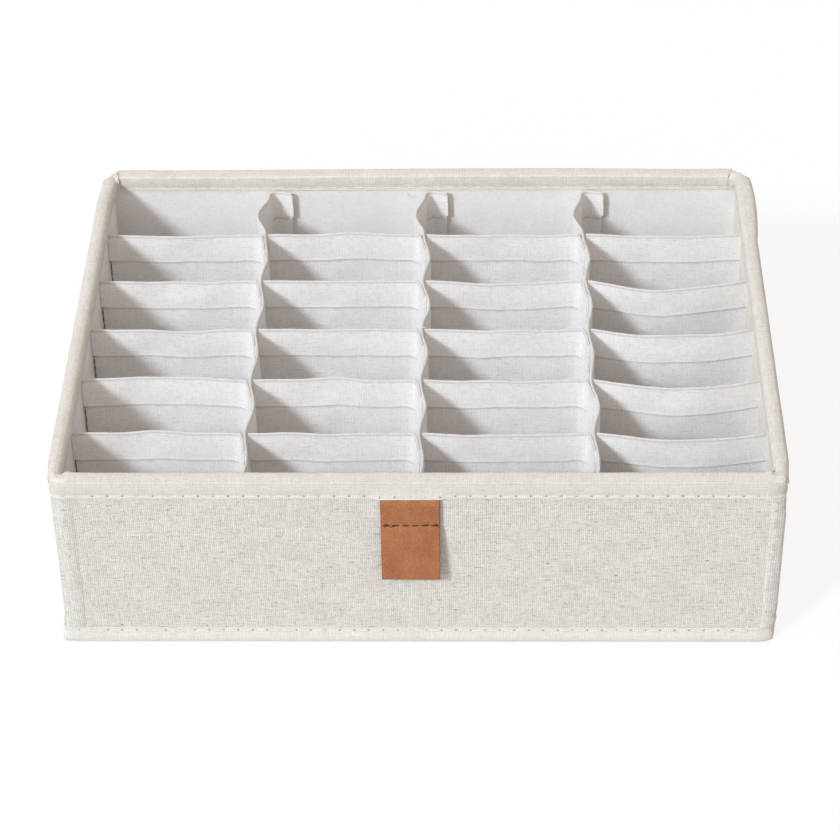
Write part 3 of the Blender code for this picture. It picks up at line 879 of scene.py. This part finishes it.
# %% Bind the rim and the lower edge
CORNER_STEPS = 10
CORNER_GAP = 0.012
END_TURNS = {"front": (1.40, 1.40), "right": (0.16, 1.57), "back": (0.0, 0.42), "left": (1.14, 0.16)}
CORNER_RUN = 1.6 * MM
SLANT = 1.6 * MM


def slant(face, axis, inset_of):
    """Cuts the end of a tape at a slant, so that its inner side reaches further along the wall."""
    for vert in face.verts:
        vert.co[axis] += SLANT * (inset_of(vert) / WALL - 0.5)


def bind(side, kind, path, replaced):
    """Sweeps a tape along one wall and round its two corners, to where its neighbours start."""
    half, distance = side_sizes(side)
    tangent = half - CORNER_RADIUS
    outline = ribbon(path, TAPE)
    width = max(point[2] for point in outline)
    start = CORNER_RUN - tangent if side == "back" else -tangent
    bm, first = start_piece(outline, lambda inset, z: (start, -distance + inset, z))
    last = pull_straight(bm, first, (tangent - start, 0, 0), STITCH_PITCH / 5)
    lines = (STITCH_LINE, width - STITCH_LINE) if kind == "rim" else (STITCH_LINE,)
    pucker(bm, lines, side, distance)
    front_rim = (side, kind) == ("front", "rim")
    if front_rim:
        cover_tab(bm)
        add_knobs(bm)
    centre_y = -distance + CORNER_RADIUS
    near_turn, far_turn = (turn - CORNER_GAP / 2 for turn in END_TURNS[side])
    last = pull_round(bm, last, (tangent, centre_y), far_turn, CORNER_RADIUS, CORNER_STEPS)
    if side == "back":
        slant(first, 0, lambda vert: vert.co.y + distance)
    else:
        pull_round(bm, first, (-tangent, centre_y), -near_turn, CORNER_RADIUS, CORNER_STEPS, -1)
    if side == "right":
        run = (CORNER_RUN - 0.1 * MM) / 3
        last = pull(bm, last, Matrix.Translation((0, run, 0)), run, 3)
        slant(last, 1, lambda vert: half - vert.co.x)
    if front_rim:
        round_ends(bm)
    turn_to_side(bm, side)
    shape_corners(bm)
    rim_finish = rim_tape_painted_light_and_shade_finish if side in ("front", "back") else tape_finish
    finish = rim_finish if kind == "rim" else edge_tape_painted_light_finish
    finish_piece("{}_{}_tape".format(side, kind), bm, [finish], [replaced])
    return width


for side in SIDES:
    rim_width = bind(side, "rim", rim_path(RIM_TURNS[side]), side + "_top_binding")
    edge_width = bind(side, "edge", base_path(), side + "_bottom_binding")
print("rim tape", round(rim_width / MM, 1), "mm wide, edge tape", round(edge_width / MM, 1), "mm")

# %% [markdown]
# ## A tuck in the tape
# Tape that is folded over a rim has too much length inside a corner. At the back left it is laid in
# a tuck, a narrow fold that crosses the corner and shows as a strip between two creases. It is a
# short straight piece of a section that stands a little outside the tape's.

# %% Tuck at the back left corner
half, distance = side_sizes("back")
TUCK_WAY = 0.42
TUCK_WIDTH = 2.6 * MM
TUCK_STEPS = 6
TUCK_LIFT = 0.45 * MM
TUCK_TURN = 1.8 * MM
TUCK_REACH = 1.0 * MM
centre = Vector((half - CORNER_RADIUS, -distance + CORNER_RADIUS, 0))
path = [(u + TUCK_REACH * ramp(u, 0, WALL), z) for u, z in rim_path(TUCK_TURN, TUCK_LIFT)]
bm, face = start_piece(ribbon(path, TAPE),
                       lambda inset, z: (centre.x - TUCK_WIDTH / 2, -distance + inset, z))
step = TUCK_WIDTH / TUCK_STEPS
pull(bm, face, Matrix.Translation((step, 0, 0)), step, TUCK_STEPS)
for vert in bm.verts:
    edge = abs(vert.co.x - centre.x) / (TUCK_WIDTH / 2)
    vert.co.z -= 0.25 * MM * edge ** 4 * ramp(vert.co.z, OUTER_LOW, HEIGHT)
bmesh.ops.rotate(bm, verts=bm.verts[:], cent=centre, matrix=Matrix.Rotation(TUCK_WAY, 3, "Z"))
turn_to_side(bm, "back")
shape_corners(bm)
finish_piece("back_left_tuck", bm, [tape_finish])
print("tuck", round(TUCK_WIDTH / MM, 1), "mm wide")

# %% [markdown]
# ## Rolled seams
# Where a side panel meets the front or back panel, the raw edges are turned and sewn into a narrow
# roll. A half-round face is pulled up the corner in small steps and wanders by a hair, as a hand
# guided seam does.

# %% Rolled seams at the upright corners
SEAM_SHAPES = {
    "front_left_seam": (3.4 * MM, 0.45 * MM, 0.4 * MM, 2.0),
    "front_right_seam": (3.6 * MM, 1.3 * MM, 3.0 * MM, 0.6),
    "back_left_seam": (1.2 * MM, 0.7 * MM, 0.0, 0.5),
    "back_right_seam": (1.2 * MM, 0.7 * MM, 0.0, 0.5),
}
SEAM_STEPS = 14
SEAM_ROW = 1.5 * MM


def wrap_corner(bm):
    """Lays the part of a front seam that reaches past the straight wall round the corner."""
    tangent = BODY_X - CORNER_RADIUS
    for vert in bm.verts:
        past = abs(vert.co.x) - tangent
        if past > 0:
            angle = past / CORNER_RADIUS
            reach = CORNER_RADIUS - BODY_Y - vert.co.y
            vert.co.x = math.copysign(tangent + reach * math.sin(angle), vert.co.x)
            vert.co.y = CORNER_RADIUS - BODY_Y - reach * math.cos(angle)


def seam_outline(half_width, rise, shoulder):
    """A flat half-round. The shoulder's power is small for a full roll and large for a soft one."""
    outline, reached = [], 0.0
    for step in range(SEAM_STEPS + 1):
        angle = math.pi * step / SEAM_STEPS
        point = Vector((-math.cos(angle) * half_width, -math.sin(angle) ** shoulder * rise))
        if outline:
            reached += (point - Vector(outline[-1][:2])).length
        outline.append((*point, reached))
    return outline


for name, (half_width, rise, shift, shoulder) in SEAM_SHAPES.items():
    low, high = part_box(name)
    at_front = "front" in name
    sign = 1 if at_front else -1
    centre_x = (low.x + high.x) / 2 + shift
    face_y = high.y + CLEARANCE if at_front else low.y - CLEARANCE
    bm, face = start_piece(seam_outline(half_width, rise, shoulder),
                           lambda u, v: (centre_x + sign * u, face_y + sign * v, low.z))
    rows = round((high.z - low.z) / SEAM_ROW)
    row_height = (high.z - low.z) / rows
    pull(bm, face, Matrix.Translation((0, 0, row_height)), row_height, rows)
    cloth = cloth_layer(bm)
    for vert in bm.verts:
        vert[cloth] = vert[cloth].yxz
        vert.co.x += 0.3 * MM * ripple((0, centre_x, vert.co.z), 16 * MM, face_y)
    if at_front:
        wrap_corner(bm)
        shape_corners(bm)
    finish_piece(name.replace("_seam", "_rolled_seam"), bm, [canvas_finish], [name])
print("seams", {name: piece_count[name.replace("_seam", "_rolled_seam")] for name in SEAM_SHAPES})

# %% [markdown]
# ## Hemmed divider cloth
# Dividers are strips with a deep hem: the cloth is folded at the top and sewn down 15 mm lower.
# The section follows the real fold, up one side, over the top and down again, so the hem is a
# second layer with an edge that casts its own thin line, darkened further by painted shade in the
# divider cloth. The same section serves all dividers.

# %% Divider section and its shapes
HEM_EDGE = DIVIDER_TOP - HEM_DEPTH
FOLD = 0.29 * MM
FULL_BOW = 0.9


def hem_section():
    """Section of a divider with the hem on its negative side."""
    turn_z = DIVIDER_TOP - FOLD - DIVIDER_CLOTH / 2
    below = turn_z - 1.4 * MM
    path = straight((0, DIVIDER_LOW), (0, below), 22)
    path += arc((-FOLD, turn_z), FOLD, 0, math.pi, 6)
    path += straight((-2.1 * FOLD, below), (-2.3 * FOLD, HEM_EDGE + 2.2 * MM), 5)
    path += [(-2.2 * FOLD, HEM_EDGE + 1.1 * MM), (-2.8 * FOLD, HEM_EDGE)]
    return ribbon(path, DIVIDER_CLOTH)


def height_share(z):
    """How much of its bow a divider has at this height: none at the floor, all near the top."""
    return ramp(z, DIVIDER_LOW, DIVIDER_LOW + FULL_BOW * (DIVIDER_TOP - DIVIDER_LOW))


def long_bow(index, y, z):
    """How far to the right a long divider leans at this place: nothing at the crossings."""
    cell = min(max(int((y + INSIDE_Y) / ROW_PITCH), 0), ROWS - 1)
    start = -INSIDE_Y + cell * ROW_PITCH
    end = min(start + ROW_PITCH, WALL_BEND_Y)
    wave = (1 - math.cos(2 * math.pi * (y - start) / (end - start))) / 2
    return LONG_BOW_SHARES[index][cell] * ROW_PITCH * wave * height_share(z)


def divider_x(index):
    return -INSIDE_X + (index + 1) * COLUMN_PITCH


def row_y(row):
    return -INSIDE_Y + (row + 1) * ROW_PITCH


def finish_divider(name, bm):
    """Puts a divider in the scene with the divider cloth, in place of its solid."""
    finish_piece(name + "_cloth", bm, [divider_finish], [name])


print("hem section points", len(hem_section()))

# %% [markdown]
# ## Long dividers
# Three strips run from the front to the back. Their back ends turn to the right against the back
# wall in a flange, and the cut end of the hem stands a little off the wall. The strip is pulled
# back step by step, leaned to the right in each cell, and then turned round the bend.

# %% Long dividers
DIVIDER_GRID = 2 * MM
QUARTER = math.pi / 2
FLANGE_GAP = 1.7 * MM
HEM_SLIP = 0.7 * MM
start_y = -INSIDE_Y + CLEARANCE
flange = WALL_FLANGE - WALL_FLANGE_RADIUS
for index, side_name in enumerate(("left", "centre", "right")):
    x = divider_x(index)
    bm, face = start_piece(hem_section(), lambda u, z: (x - u, start_y, z))
    face = pull_straight(bm, face, (0, WALL_BEND_Y - start_y, 0), DIVIDER_GRID)
    for vert in bm.verts:
        here = vert.co.copy()
        vert.co.x += long_bow(index, here.y, here.z)
        slack = height_share(here.z) * math.sin(math.pi * ((here.y + INSIDE_Y) / ROW_PITCH % 1)) ** 2
        vert.co.x += 0.3 * MM * slack * ripple(here, 9 * MM, index + 1)
    bend_x = x + WALL_FLANGE_RADIUS
    face = pull_round(bm, face, (bend_x, WALL_BEND_Y), -QUARTER, WALL_FLANGE_RADIUS, 6)
    pull_straight(bm, face, (flange, 0, 0), 1 * MM)
    cloth = cloth_layer(bm)
    for vert in bm.verts:
        if vert.co.x > bend_x and vert.co.y > WALL_BEND_Y:
            share = (vert.co.x - bend_x) / flange
            vert.co.y -= FLANGE_GAP * share
            if vert[cloth].y > FOLD_PLACE:
                vert.co.x += HEM_SLIP * share
                vert.co.z += 0.1 * (DIVIDER_TOP - vert.co.z)
    finish_divider("long_divider_" + side_name, bm)
print("long dividers", piece_count["long_divider_left_cloth"], "faces each")

# %% [markdown]
# ## Cross dividers
# Twenty short strips, one for each step of the grid. The left end of a strip is sewn into a long
# divider, and the right end turns forward in a soft curve and lies along the next one. Each leans
# forward by its own amount, and its hem is as uneven as cloth that was sewn by hand.

# %% Cross dividers
PINCH_HEIGHT = 16 * MM
PRESS = 1.2 * MM


def lean_panel(bm, bow, left, right, seed):
    """Leans a panel forward in the middle and makes its cloth and its top edge uneven."""
    for vert in bm.verts:
        here = vert.co.copy()
        wave = hump(here.x, left, right)
        lean = height_share(here.z)
        place = (here.x, 0, here.z)
        vert.co.y -= bow * wave * lean
        vert.co.y += 1.0 * MM * lean * wave * ripple(place, 24 * MM, seed)
        vert.co.y += 0.32 * MM * wave * ripple(place, 8 * MM, seed)
        vert.co.z += 1.3 * MM * lean ** 4 * wave ** 0.5 * ripple((here.x, 0, 0), 24 * MM, seed + 40)


def press_flange(verts, column, y, bend):
    """Pinches a flange at the top of its bend and presses it on the long divider beside it."""
    for vert in verts:
        out_x, out_y = vert.co.x - bend[0], vert.co.y - bend[1]
        if out_x > 0 and out_y > 0:
            pinched = share_of(vert.co.z, DIVIDER_TOP - PINCH_HEIGHT, DIVIDER_TOP)
            square = math.hypot(out_x, out_y) / max(out_x, out_y)
            vert.co.x += out_x * (square - 1) * pinched
            vert.co.y += out_y * (square - 1) * pinched
        pressed = min(1, (y - vert.co.y) / SIDE_FLANGE_RADIUS)
        vert.co.x += long_bow(column, vert.co.y, vert.co.z) + PRESS * pressed


def cross_panel(row, column):
    y = row_y(row)
    left, right = -INSIDE_X + CLEARANCE, INSIDE_X + CLEARANCE
    if column > 0:
        left = divider_x(column - 1) + DIVIDER_HALF + HEM_LAYER + CLEARANCE
    flanged = column < COLUMNS - 1
    if flanged:
        right = divider_x(column) - 2 * DIVIDER_HALF - SIDE_FLANGE_CLEARANCE - SIDE_FLANGE_RADIUS
    bm, face = start_piece(hem_section(), lambda u, z: (left, y + u, z))
    face = pull_straight(bm, face, (right - left, 0, 0), DIVIDER_GRID)
    bow = CROSS_BOW_SHARES[row][column] * ROW_PITCH
    lean_panel(bm, bow, left, right, 1 + row * COLUMNS + column)
    used = right - left
    if flanged:
        before = set(bm.verts)
        bend = (right, y - SIDE_FLANGE_RADIUS)
        face = pull_round(bm, face, bend, -QUARTER, SIDE_FLANGE_RADIUS, 8)
        pull_straight(bm, face, (0, SIDE_FLANGE_RADIUS - SIDE_FLANGE, 0), 1.5 * MM)
        press_flange(set(bm.verts) - before, column, y, bend)
        used += SIDE_FLANGE
    finish_divider("cross_divider_row{}_column{}".format(row + 1, column + 1), bm)


for row in range(ROWS - 1):
    for column in range(COLUMNS):
        cross_panel(row, column)
print("cross dividers", count_faces("cross"), "faces in all")

# %% [markdown]
# ## Pull tab
# One strip of leather, sewn to the front along a line below its top. Below that line it is free
# and stands off the canvas. It is one piece of leather, so it is one mesh, with the dark edge as
# its second material.

# %% Leather tab
low_anchor, high_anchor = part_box("pull_tab_anchor")
tab_y = (low_anchor.y + high_anchor.y) / 2
hinge_z = low_anchor.z - CLEARANCE - TAB_THICKNESS / 2
start_x = TAB_X - TAB_WIDTH / 2
TAB_STEPS = 26
TAB_TUCK = 1.6 * MM
EDGE_ANGLE = math.radians(60)
EDGE_BEVEL = 0.22 * MM
FACING_SIDE = 0.3
SEAM_DENT = 0.18 * MM
SKIVED = 0.55


def tab_path():
    """Middle line of the leather from its top edge to its free end."""
    points = straight((tab_y, high_anchor.z + TAB_TUCK), (tab_y, hinge_z), 12)
    for step in range(1, TAB_STEPS + 1):
        share = step / TAB_STEPS
        points.append((tab_y - TAB_STAND_OFF * share ** 0.6, hinge_z - TAB_FREE_LENGTH * share))
    return points


bm, first = start_piece(ribbon(tab_path(), TAB_THICKNESS), lambda y, z: (start_x, y, z))
pull_straight(bm, first, (TAB_WIDTH, 0, 0), 1 * MM)
rim = [edge for edge in bm.edges if edge.is_manifold and edge.calc_face_angle() > EDGE_ANGLE]
bmesh.ops.bevel(bm, geom=rim, offset=EDGE_BEVEL, segments=2, affect="EDGES", profile=0.5, material=-1)
bmesh.ops.recalc_face_normals(bm, faces=bm.faces[:])
for face in bm.faces:
    at_end = face.calc_center_median().z < hinge_z - TAB_FREE_LENGTH + 0.3 * MM
    if abs(face.normal.x) > FACING_SIDE or (at_end and abs(face.normal.z) > FACING_SIDE):
        face.material_index = 1
for vert in bm.verts:
    vert.co.y += SEAM_DENT * math.exp(-((vert.co.z - hinge_z) / (1.0 * MM)) ** 2)
    skived = SKIVED * (high_anchor.y - vert.co.y)
    vert.co.y += skived * ramp(vert.co.z, high_anchor.z - 2.5 * MM, high_anchor.z)
tab = finish_piece("pull_tab_leather", bm, [leather_finish, edge_finish],
                   ["pull_tab_anchor", "pull_tab"], body=None, smooth_angle=40)
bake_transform(tab)
print("tab hinge at", round(hinge_z / MM, 1), "mm")

# %% [markdown]
# ## Stitches
# Topstitching is a row of short raised threads with gaps where the thread dives through the cloth.
# Each stitch is a small ball drawn out along the seam, with few faces because there are hundreds.

# %% Stitch helpers and topstitches
THREAD_RADIUS = 0.26 * MM
STITCH_STAND = 0.76 * MM
STITCH_FACES = 42


def add_stitch(bm, centre, along, length, radius):
    """One stitch: a ball drawn out along its seam."""
    turn = Vector(along).to_track_quat("X", "Z").to_matrix().to_4x4()
    size = Matrix.Diagonal((length / 2, radius, radius, 1))
    place = Matrix.Translation(centre) @ turn @ size @ Matrix.Rotation(math.pi / 2, 4, "Y")
    bmesh.ops.create_uvsphere(bm, u_segments=7, v_segments=6, radius=1, matrix=place)


def stitch_row(side, z, offset, name, radius):
    """A row of stitches along one wall. The offset is measured from the canvas face, outwards."""
    half, distance = side_sizes(side)
    tangent = half - CORNER_RADIUS
    bm = bmesh.new()
    for step in range(int(2 * tangent / STITCH_PITCH)):
        x = -tangent + (step + 0.5) * STITCH_PITCH
        wander = 0.12 * MM * ripple((x, z, offset), 5 * MM, SIDES[side])
        tilt = 0.05 * ripple((x, z, 0), 3 * MM, 9)
        add_stitch(bm, (x, -distance - offset, z + wander), (1, 0, tilt), 5.3 * MM, radius)
    turn_to_side(bm, side)
    finish_piece("{}_{}_stitches".format(side, name), bm, [thread_finish])


for side in SIDES:
    stitch_row(side, OUTER_LOW + STITCH_LINE, STITCH_STAND, "rim", THREAD_RADIUS)
    stitch_row(side, INNER_LOW + STITCH_LINE, -WALL - STITCH_STAND, "inner_rim", THREAD_RADIUS)
    stitch_row(side, BASE_LEG - STITCH_LINE, 0.78 * MM, "edge", 0.2 * MM)
print("stitches", count_faces("stitches") // STITCH_FACES)

# %% [markdown]
# ## The tab's seam
# The leather is held by a row of dark thread. It starts and ends with a few stitches sewn over each
# other, which shows as a small tangle at the left.

# %% Tab stitches
TAB_STITCH_PITCH = 4.2 * MM
TANGLE = ((1.6, -0.75, 1.1), (3.0, 0.45, -0.7), (5.0, -0.35, 0.25), (2.1, -1.1, 0.1),
          (19.6, 0.55, 0.1), (23.4, 0.5, 0.6), (24.4, 0.1, -0.9))
bm = bmesh.new()
face_y = tab_y - TAB_THICKNESS / 2
for step in range(6):
    x = start_x + 2.3 * MM + step * TAB_STITCH_PITCH
    z = hinge_z + 0.2 * MM + 0.25 * MM * ripple((x, 0, 0), 6 * MM, 4)
    slope = 0.3 * ripple((x, 0, 0), 3 * MM, 8)
    add_stitch(bm, (x, face_y - 0.02 * MM, z), (1, 0, slope), 3.3 * MM, 0.32 * MM)
for x, z, slope in TANGLE:
    centre = (start_x + x * MM, face_y - 0.1 * MM, hinge_z + z * MM)
    add_stitch(bm, centre, (1, 0, slope), 2.4 * MM, 0.28 * MM)
finish_piece("pull_tab_stitches", bm, [brown_thread_finish])
print("tab stitches", piece_count["pull_tab_stitches"] // STITCH_FACES)

# %% [markdown]
# ## Painted shade at the ends of the panels, and loose threads
# The dark slit of shade where the outer ends of the cross dividers meet the wall lining is painted
# as a row of dark stitches, a thin dark line. Where a seam ends, a thread is left standing. Such a
# thread is a small ring that is pulled along a curve, a step at a time.

# %% Painted shade at the panel ends, and loose threads
END_STITCH_PITCH = 4.2 * MM
END_STITCHES = 18
bm = bmesh.new()
for row in range(ROWS - 1):
    y = row_y(row) - 0.45 * MM
    for step in range(END_STITCHES):
        z = DIVIDER_TOP - 2.0 * MM - step * END_STITCH_PITCH
        wander = 0.2 * MM * ripple((0, y, z), 6 * MM, row)
        add_stitch(bm, (-INSIDE_X + 0.75 * MM + wander, y, z), (0.02, 0, 1), 4.6 * MM, 0.3 * MM)
    last_place = (INSIDE_X - 0.8 * MM, y, DIVIDER_TOP - 2.4 * MM)
    add_stitch(bm, last_place, (0.15, 0, 1), 3.6 * MM, 0.34 * MM)
finish_piece("panel_end_stitches", bm, [seam_shadow_thread_finish])

LOOSE_RADIUS = 0.17 * MM
LOOSE_STEPS = 8
UNDER_TOP = DIVIDER_TOP - 1 * MM
LOOSE_THREADS = (
    ((-INSIDE_X + 1 * MM, row_y(3), DIVIDER_TOP), (0.1, 0, 1), 3.2 * MM, (0.05, 0, 0)),
    ((-INSIDE_X + 1 * MM, row_y(2), UNDER_TOP), (-0.3, 0, 1), 2 * MM, (-0.1, 0, 0)),
    ((-9 * MM, INSIDE_Y - 1.2 * MM, UNDER_TOP), (0.4, 0, -1), 6 * MM, (0.22, 0, 0.1)),
    ((divider_x(0) + 9 * MM, INSIDE_Y - 2.4 * MM, 72 * MM), (0.3, 0, -1), 4 * MM, (0.3, 0, 0.2)),
    ((divider_x(2), row_y(3), DIVIDER_TOP), (-0.4, 0, 1), 3.4 * MM, (0.2, 0, 0.1)),
    ((divider_x(1), row_y(2), DIVIDER_TOP), (0.5, -0.3, 1), 2.6 * MM, (0.1, 0, -0.2)),
    ((INSIDE_X - 1 * MM, row_y(1), UNDER_TOP), (-0.2, 0, 1), 2.6 * MM, (0.1, 0, 0)),
)


def loose_thread(bm, start, way, length, bend):
    """A thread that stands off from its seam and curls over."""
    ring = bmesh.ops.create_circle(bm, cap_ends=True, segments=6, radius=LOOSE_RADIUS)["verts"]
    turn = Vector(way).to_track_quat("Z", "X").to_matrix().to_4x4()
    bmesh.ops.transform(bm, matrix=Matrix.Translation(start) @ turn, verts=ring)
    face = ring[0].link_faces[0]
    step = Vector(way).normalized() * length / LOOSE_STEPS
    for _ in range(LOOSE_STEPS):
        face = push(bm, face, Matrix.Translation(step))
        step = (step + Vector(bend) * length / LOOSE_STEPS).normalized() * step.length


bm = bmesh.new()
for thread in LOOSE_THREADS:
    loose_thread(bm, *thread)
finish_piece("loose_threads", bm, [thread_finish])

bm = bmesh.new()
seam_x = BODY_X - CORNER_RADIUS - 0.4 * MM
for step in range(22):
    place = (seam_x, -BODY_Y - 0.55 * MM, BASE_LEG + (2 + 3.2 * step) * MM)
    add_stitch(bm, place, (0.05, 0, 1), 2.2 * MM, 0.2 * MM)
finish_piece("front_right_seam_stitches", bm, [thread_finish])
print("loose threads", len(LOOSE_THREADS))

# %% [markdown]
# ## Boards
# The boards lie hidden between canvas and lining. Their solids are right as they are and only get
# the finish of grey board.

# %% Board finish
boards = [node for name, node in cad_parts.items() if name.endswith("_board")]
for board in boards:
    for material_slot in board.material_slots:
        material_slot.material = board_finish
print("boards", len(boards))

# %% [markdown]
# ## Floor, light and camera
# The tray stands on a plain white table. One soft lamp from the front left gives the slanting
# shadows in the cells, and a pale sky, brightest overhead, fills them. The table and the sky look
# white to the camera but light the tray at a plain level.

# %% Floor
def seen_directly(tree):
    """1 for rays from the camera, a mirror or glass, and 0 for rays that gather light."""
    rays = add(tree, "ShaderNodeLightPath").outputs
    seen = calc("MAXIMUM", rays["Is Camera Ray"], rays["Is Glossy Ray"])
    return calc("MAXIMUM", seen, rays["Is Transmission Ray"])


bm = bmesh.new()
below = Matrix.Translation((0, 0, -0.2 * MM))
bmesh.ops.create_grid(bm, x_segments=2, y_segments=2, size=4.0, matrix=below)
table_top, floor_mesh = make_mesh("table_top", bm)
table_finish, tree, shader = base_material("white_table")
shader.inputs["Roughness"].default_value = 0.9
shader.inputs["Specular IOR Level"].default_value = 0.0
seen = seen_directly(tree)
join(blend_colours(seen, (0.50, 0.50, 0.50), (1, 1, 1)), shader.inputs["Base Color"])
glow = add(tree, "ShaderNodeEmission", {"Strength": 1.0}).outputs[0]
surfaces = {0: calc("MULTIPLY", seen, 0.85), 1: shader.outputs[0], 2: glow}
mixed = add(tree, "ShaderNodeMixShader", surfaces).outputs[0]
join(mixed, tree.nodes["Material Output"].inputs["Surface"])
floor_mesh.materials.append(table_finish)

# %% Sky and lamp
SKY_LEVEL = 0.345
SKY_RISE = 0.60
SKY_WAY = (0, -0.5, 0.87)
SKY_COLOUR = (1.0, 0.89, 0.81)
LAMP_AIM = (1, 1.12, -1.05)
LAMP_DISTANCE = 12.0
world = bpy.data.worlds.new("studio")
bpy.context.scene.world = world
world.use_nodes = True
tree = world.node_tree
background = tree.nodes["Background"]
seen = seen_directly(tree)
ways = {0: add(tree, "ShaderNodeTexCoord").outputs["Generated"], 1: SKY_WAY}
facing = add(tree, "ShaderNodeVectorMath", ways, operation="DOT_PRODUCT").outputs["Value"]
level = calc("MULTIPLY_ADD", calc("MAXIMUM", facing, 0.0), SKY_RISE, SKY_LEVEL)
join(blend_values(seen, level, 1.0), background.inputs["Strength"])
join(blend_colours(seen, SKY_COLOUR, (1, 1, 1)), background.inputs["Color"])

lamp_data = bpy.data.lights.new("softbox", "AREA")
lamp_data.shape = "DISK"
lamp_data.size = 2.2
lamp_data.energy = 1055
lamp_data.color = (0.87, 0.96, 1.05)
lamp = put_in_scene("softbox", lamp_data)
aim = Vector(LAMP_AIM).normalized()
lamp.location = Vector((0, 0, 0.05)) - aim * LAMP_DISTANCE
lamp.rotation_euler = aim.to_track_quat("-Z", "Y").to_euler()
bpy.context.scene.view_settings.view_transform = "Standard"

# %% Camera
camera_data = bpy.data.cameras.new("camera")
camera_data.sensor_width = 36
camera_data.lens = 115.69
camera = put_in_scene("camera", camera_data)
camera.location = (0.0241, -0.9979, 0.8403)
camera.rotation_euler = (0.8895, 0.01286, 0.01495)
bpy.context.scene.camera = camera
print("camera distance", round(camera.location.length, 3))
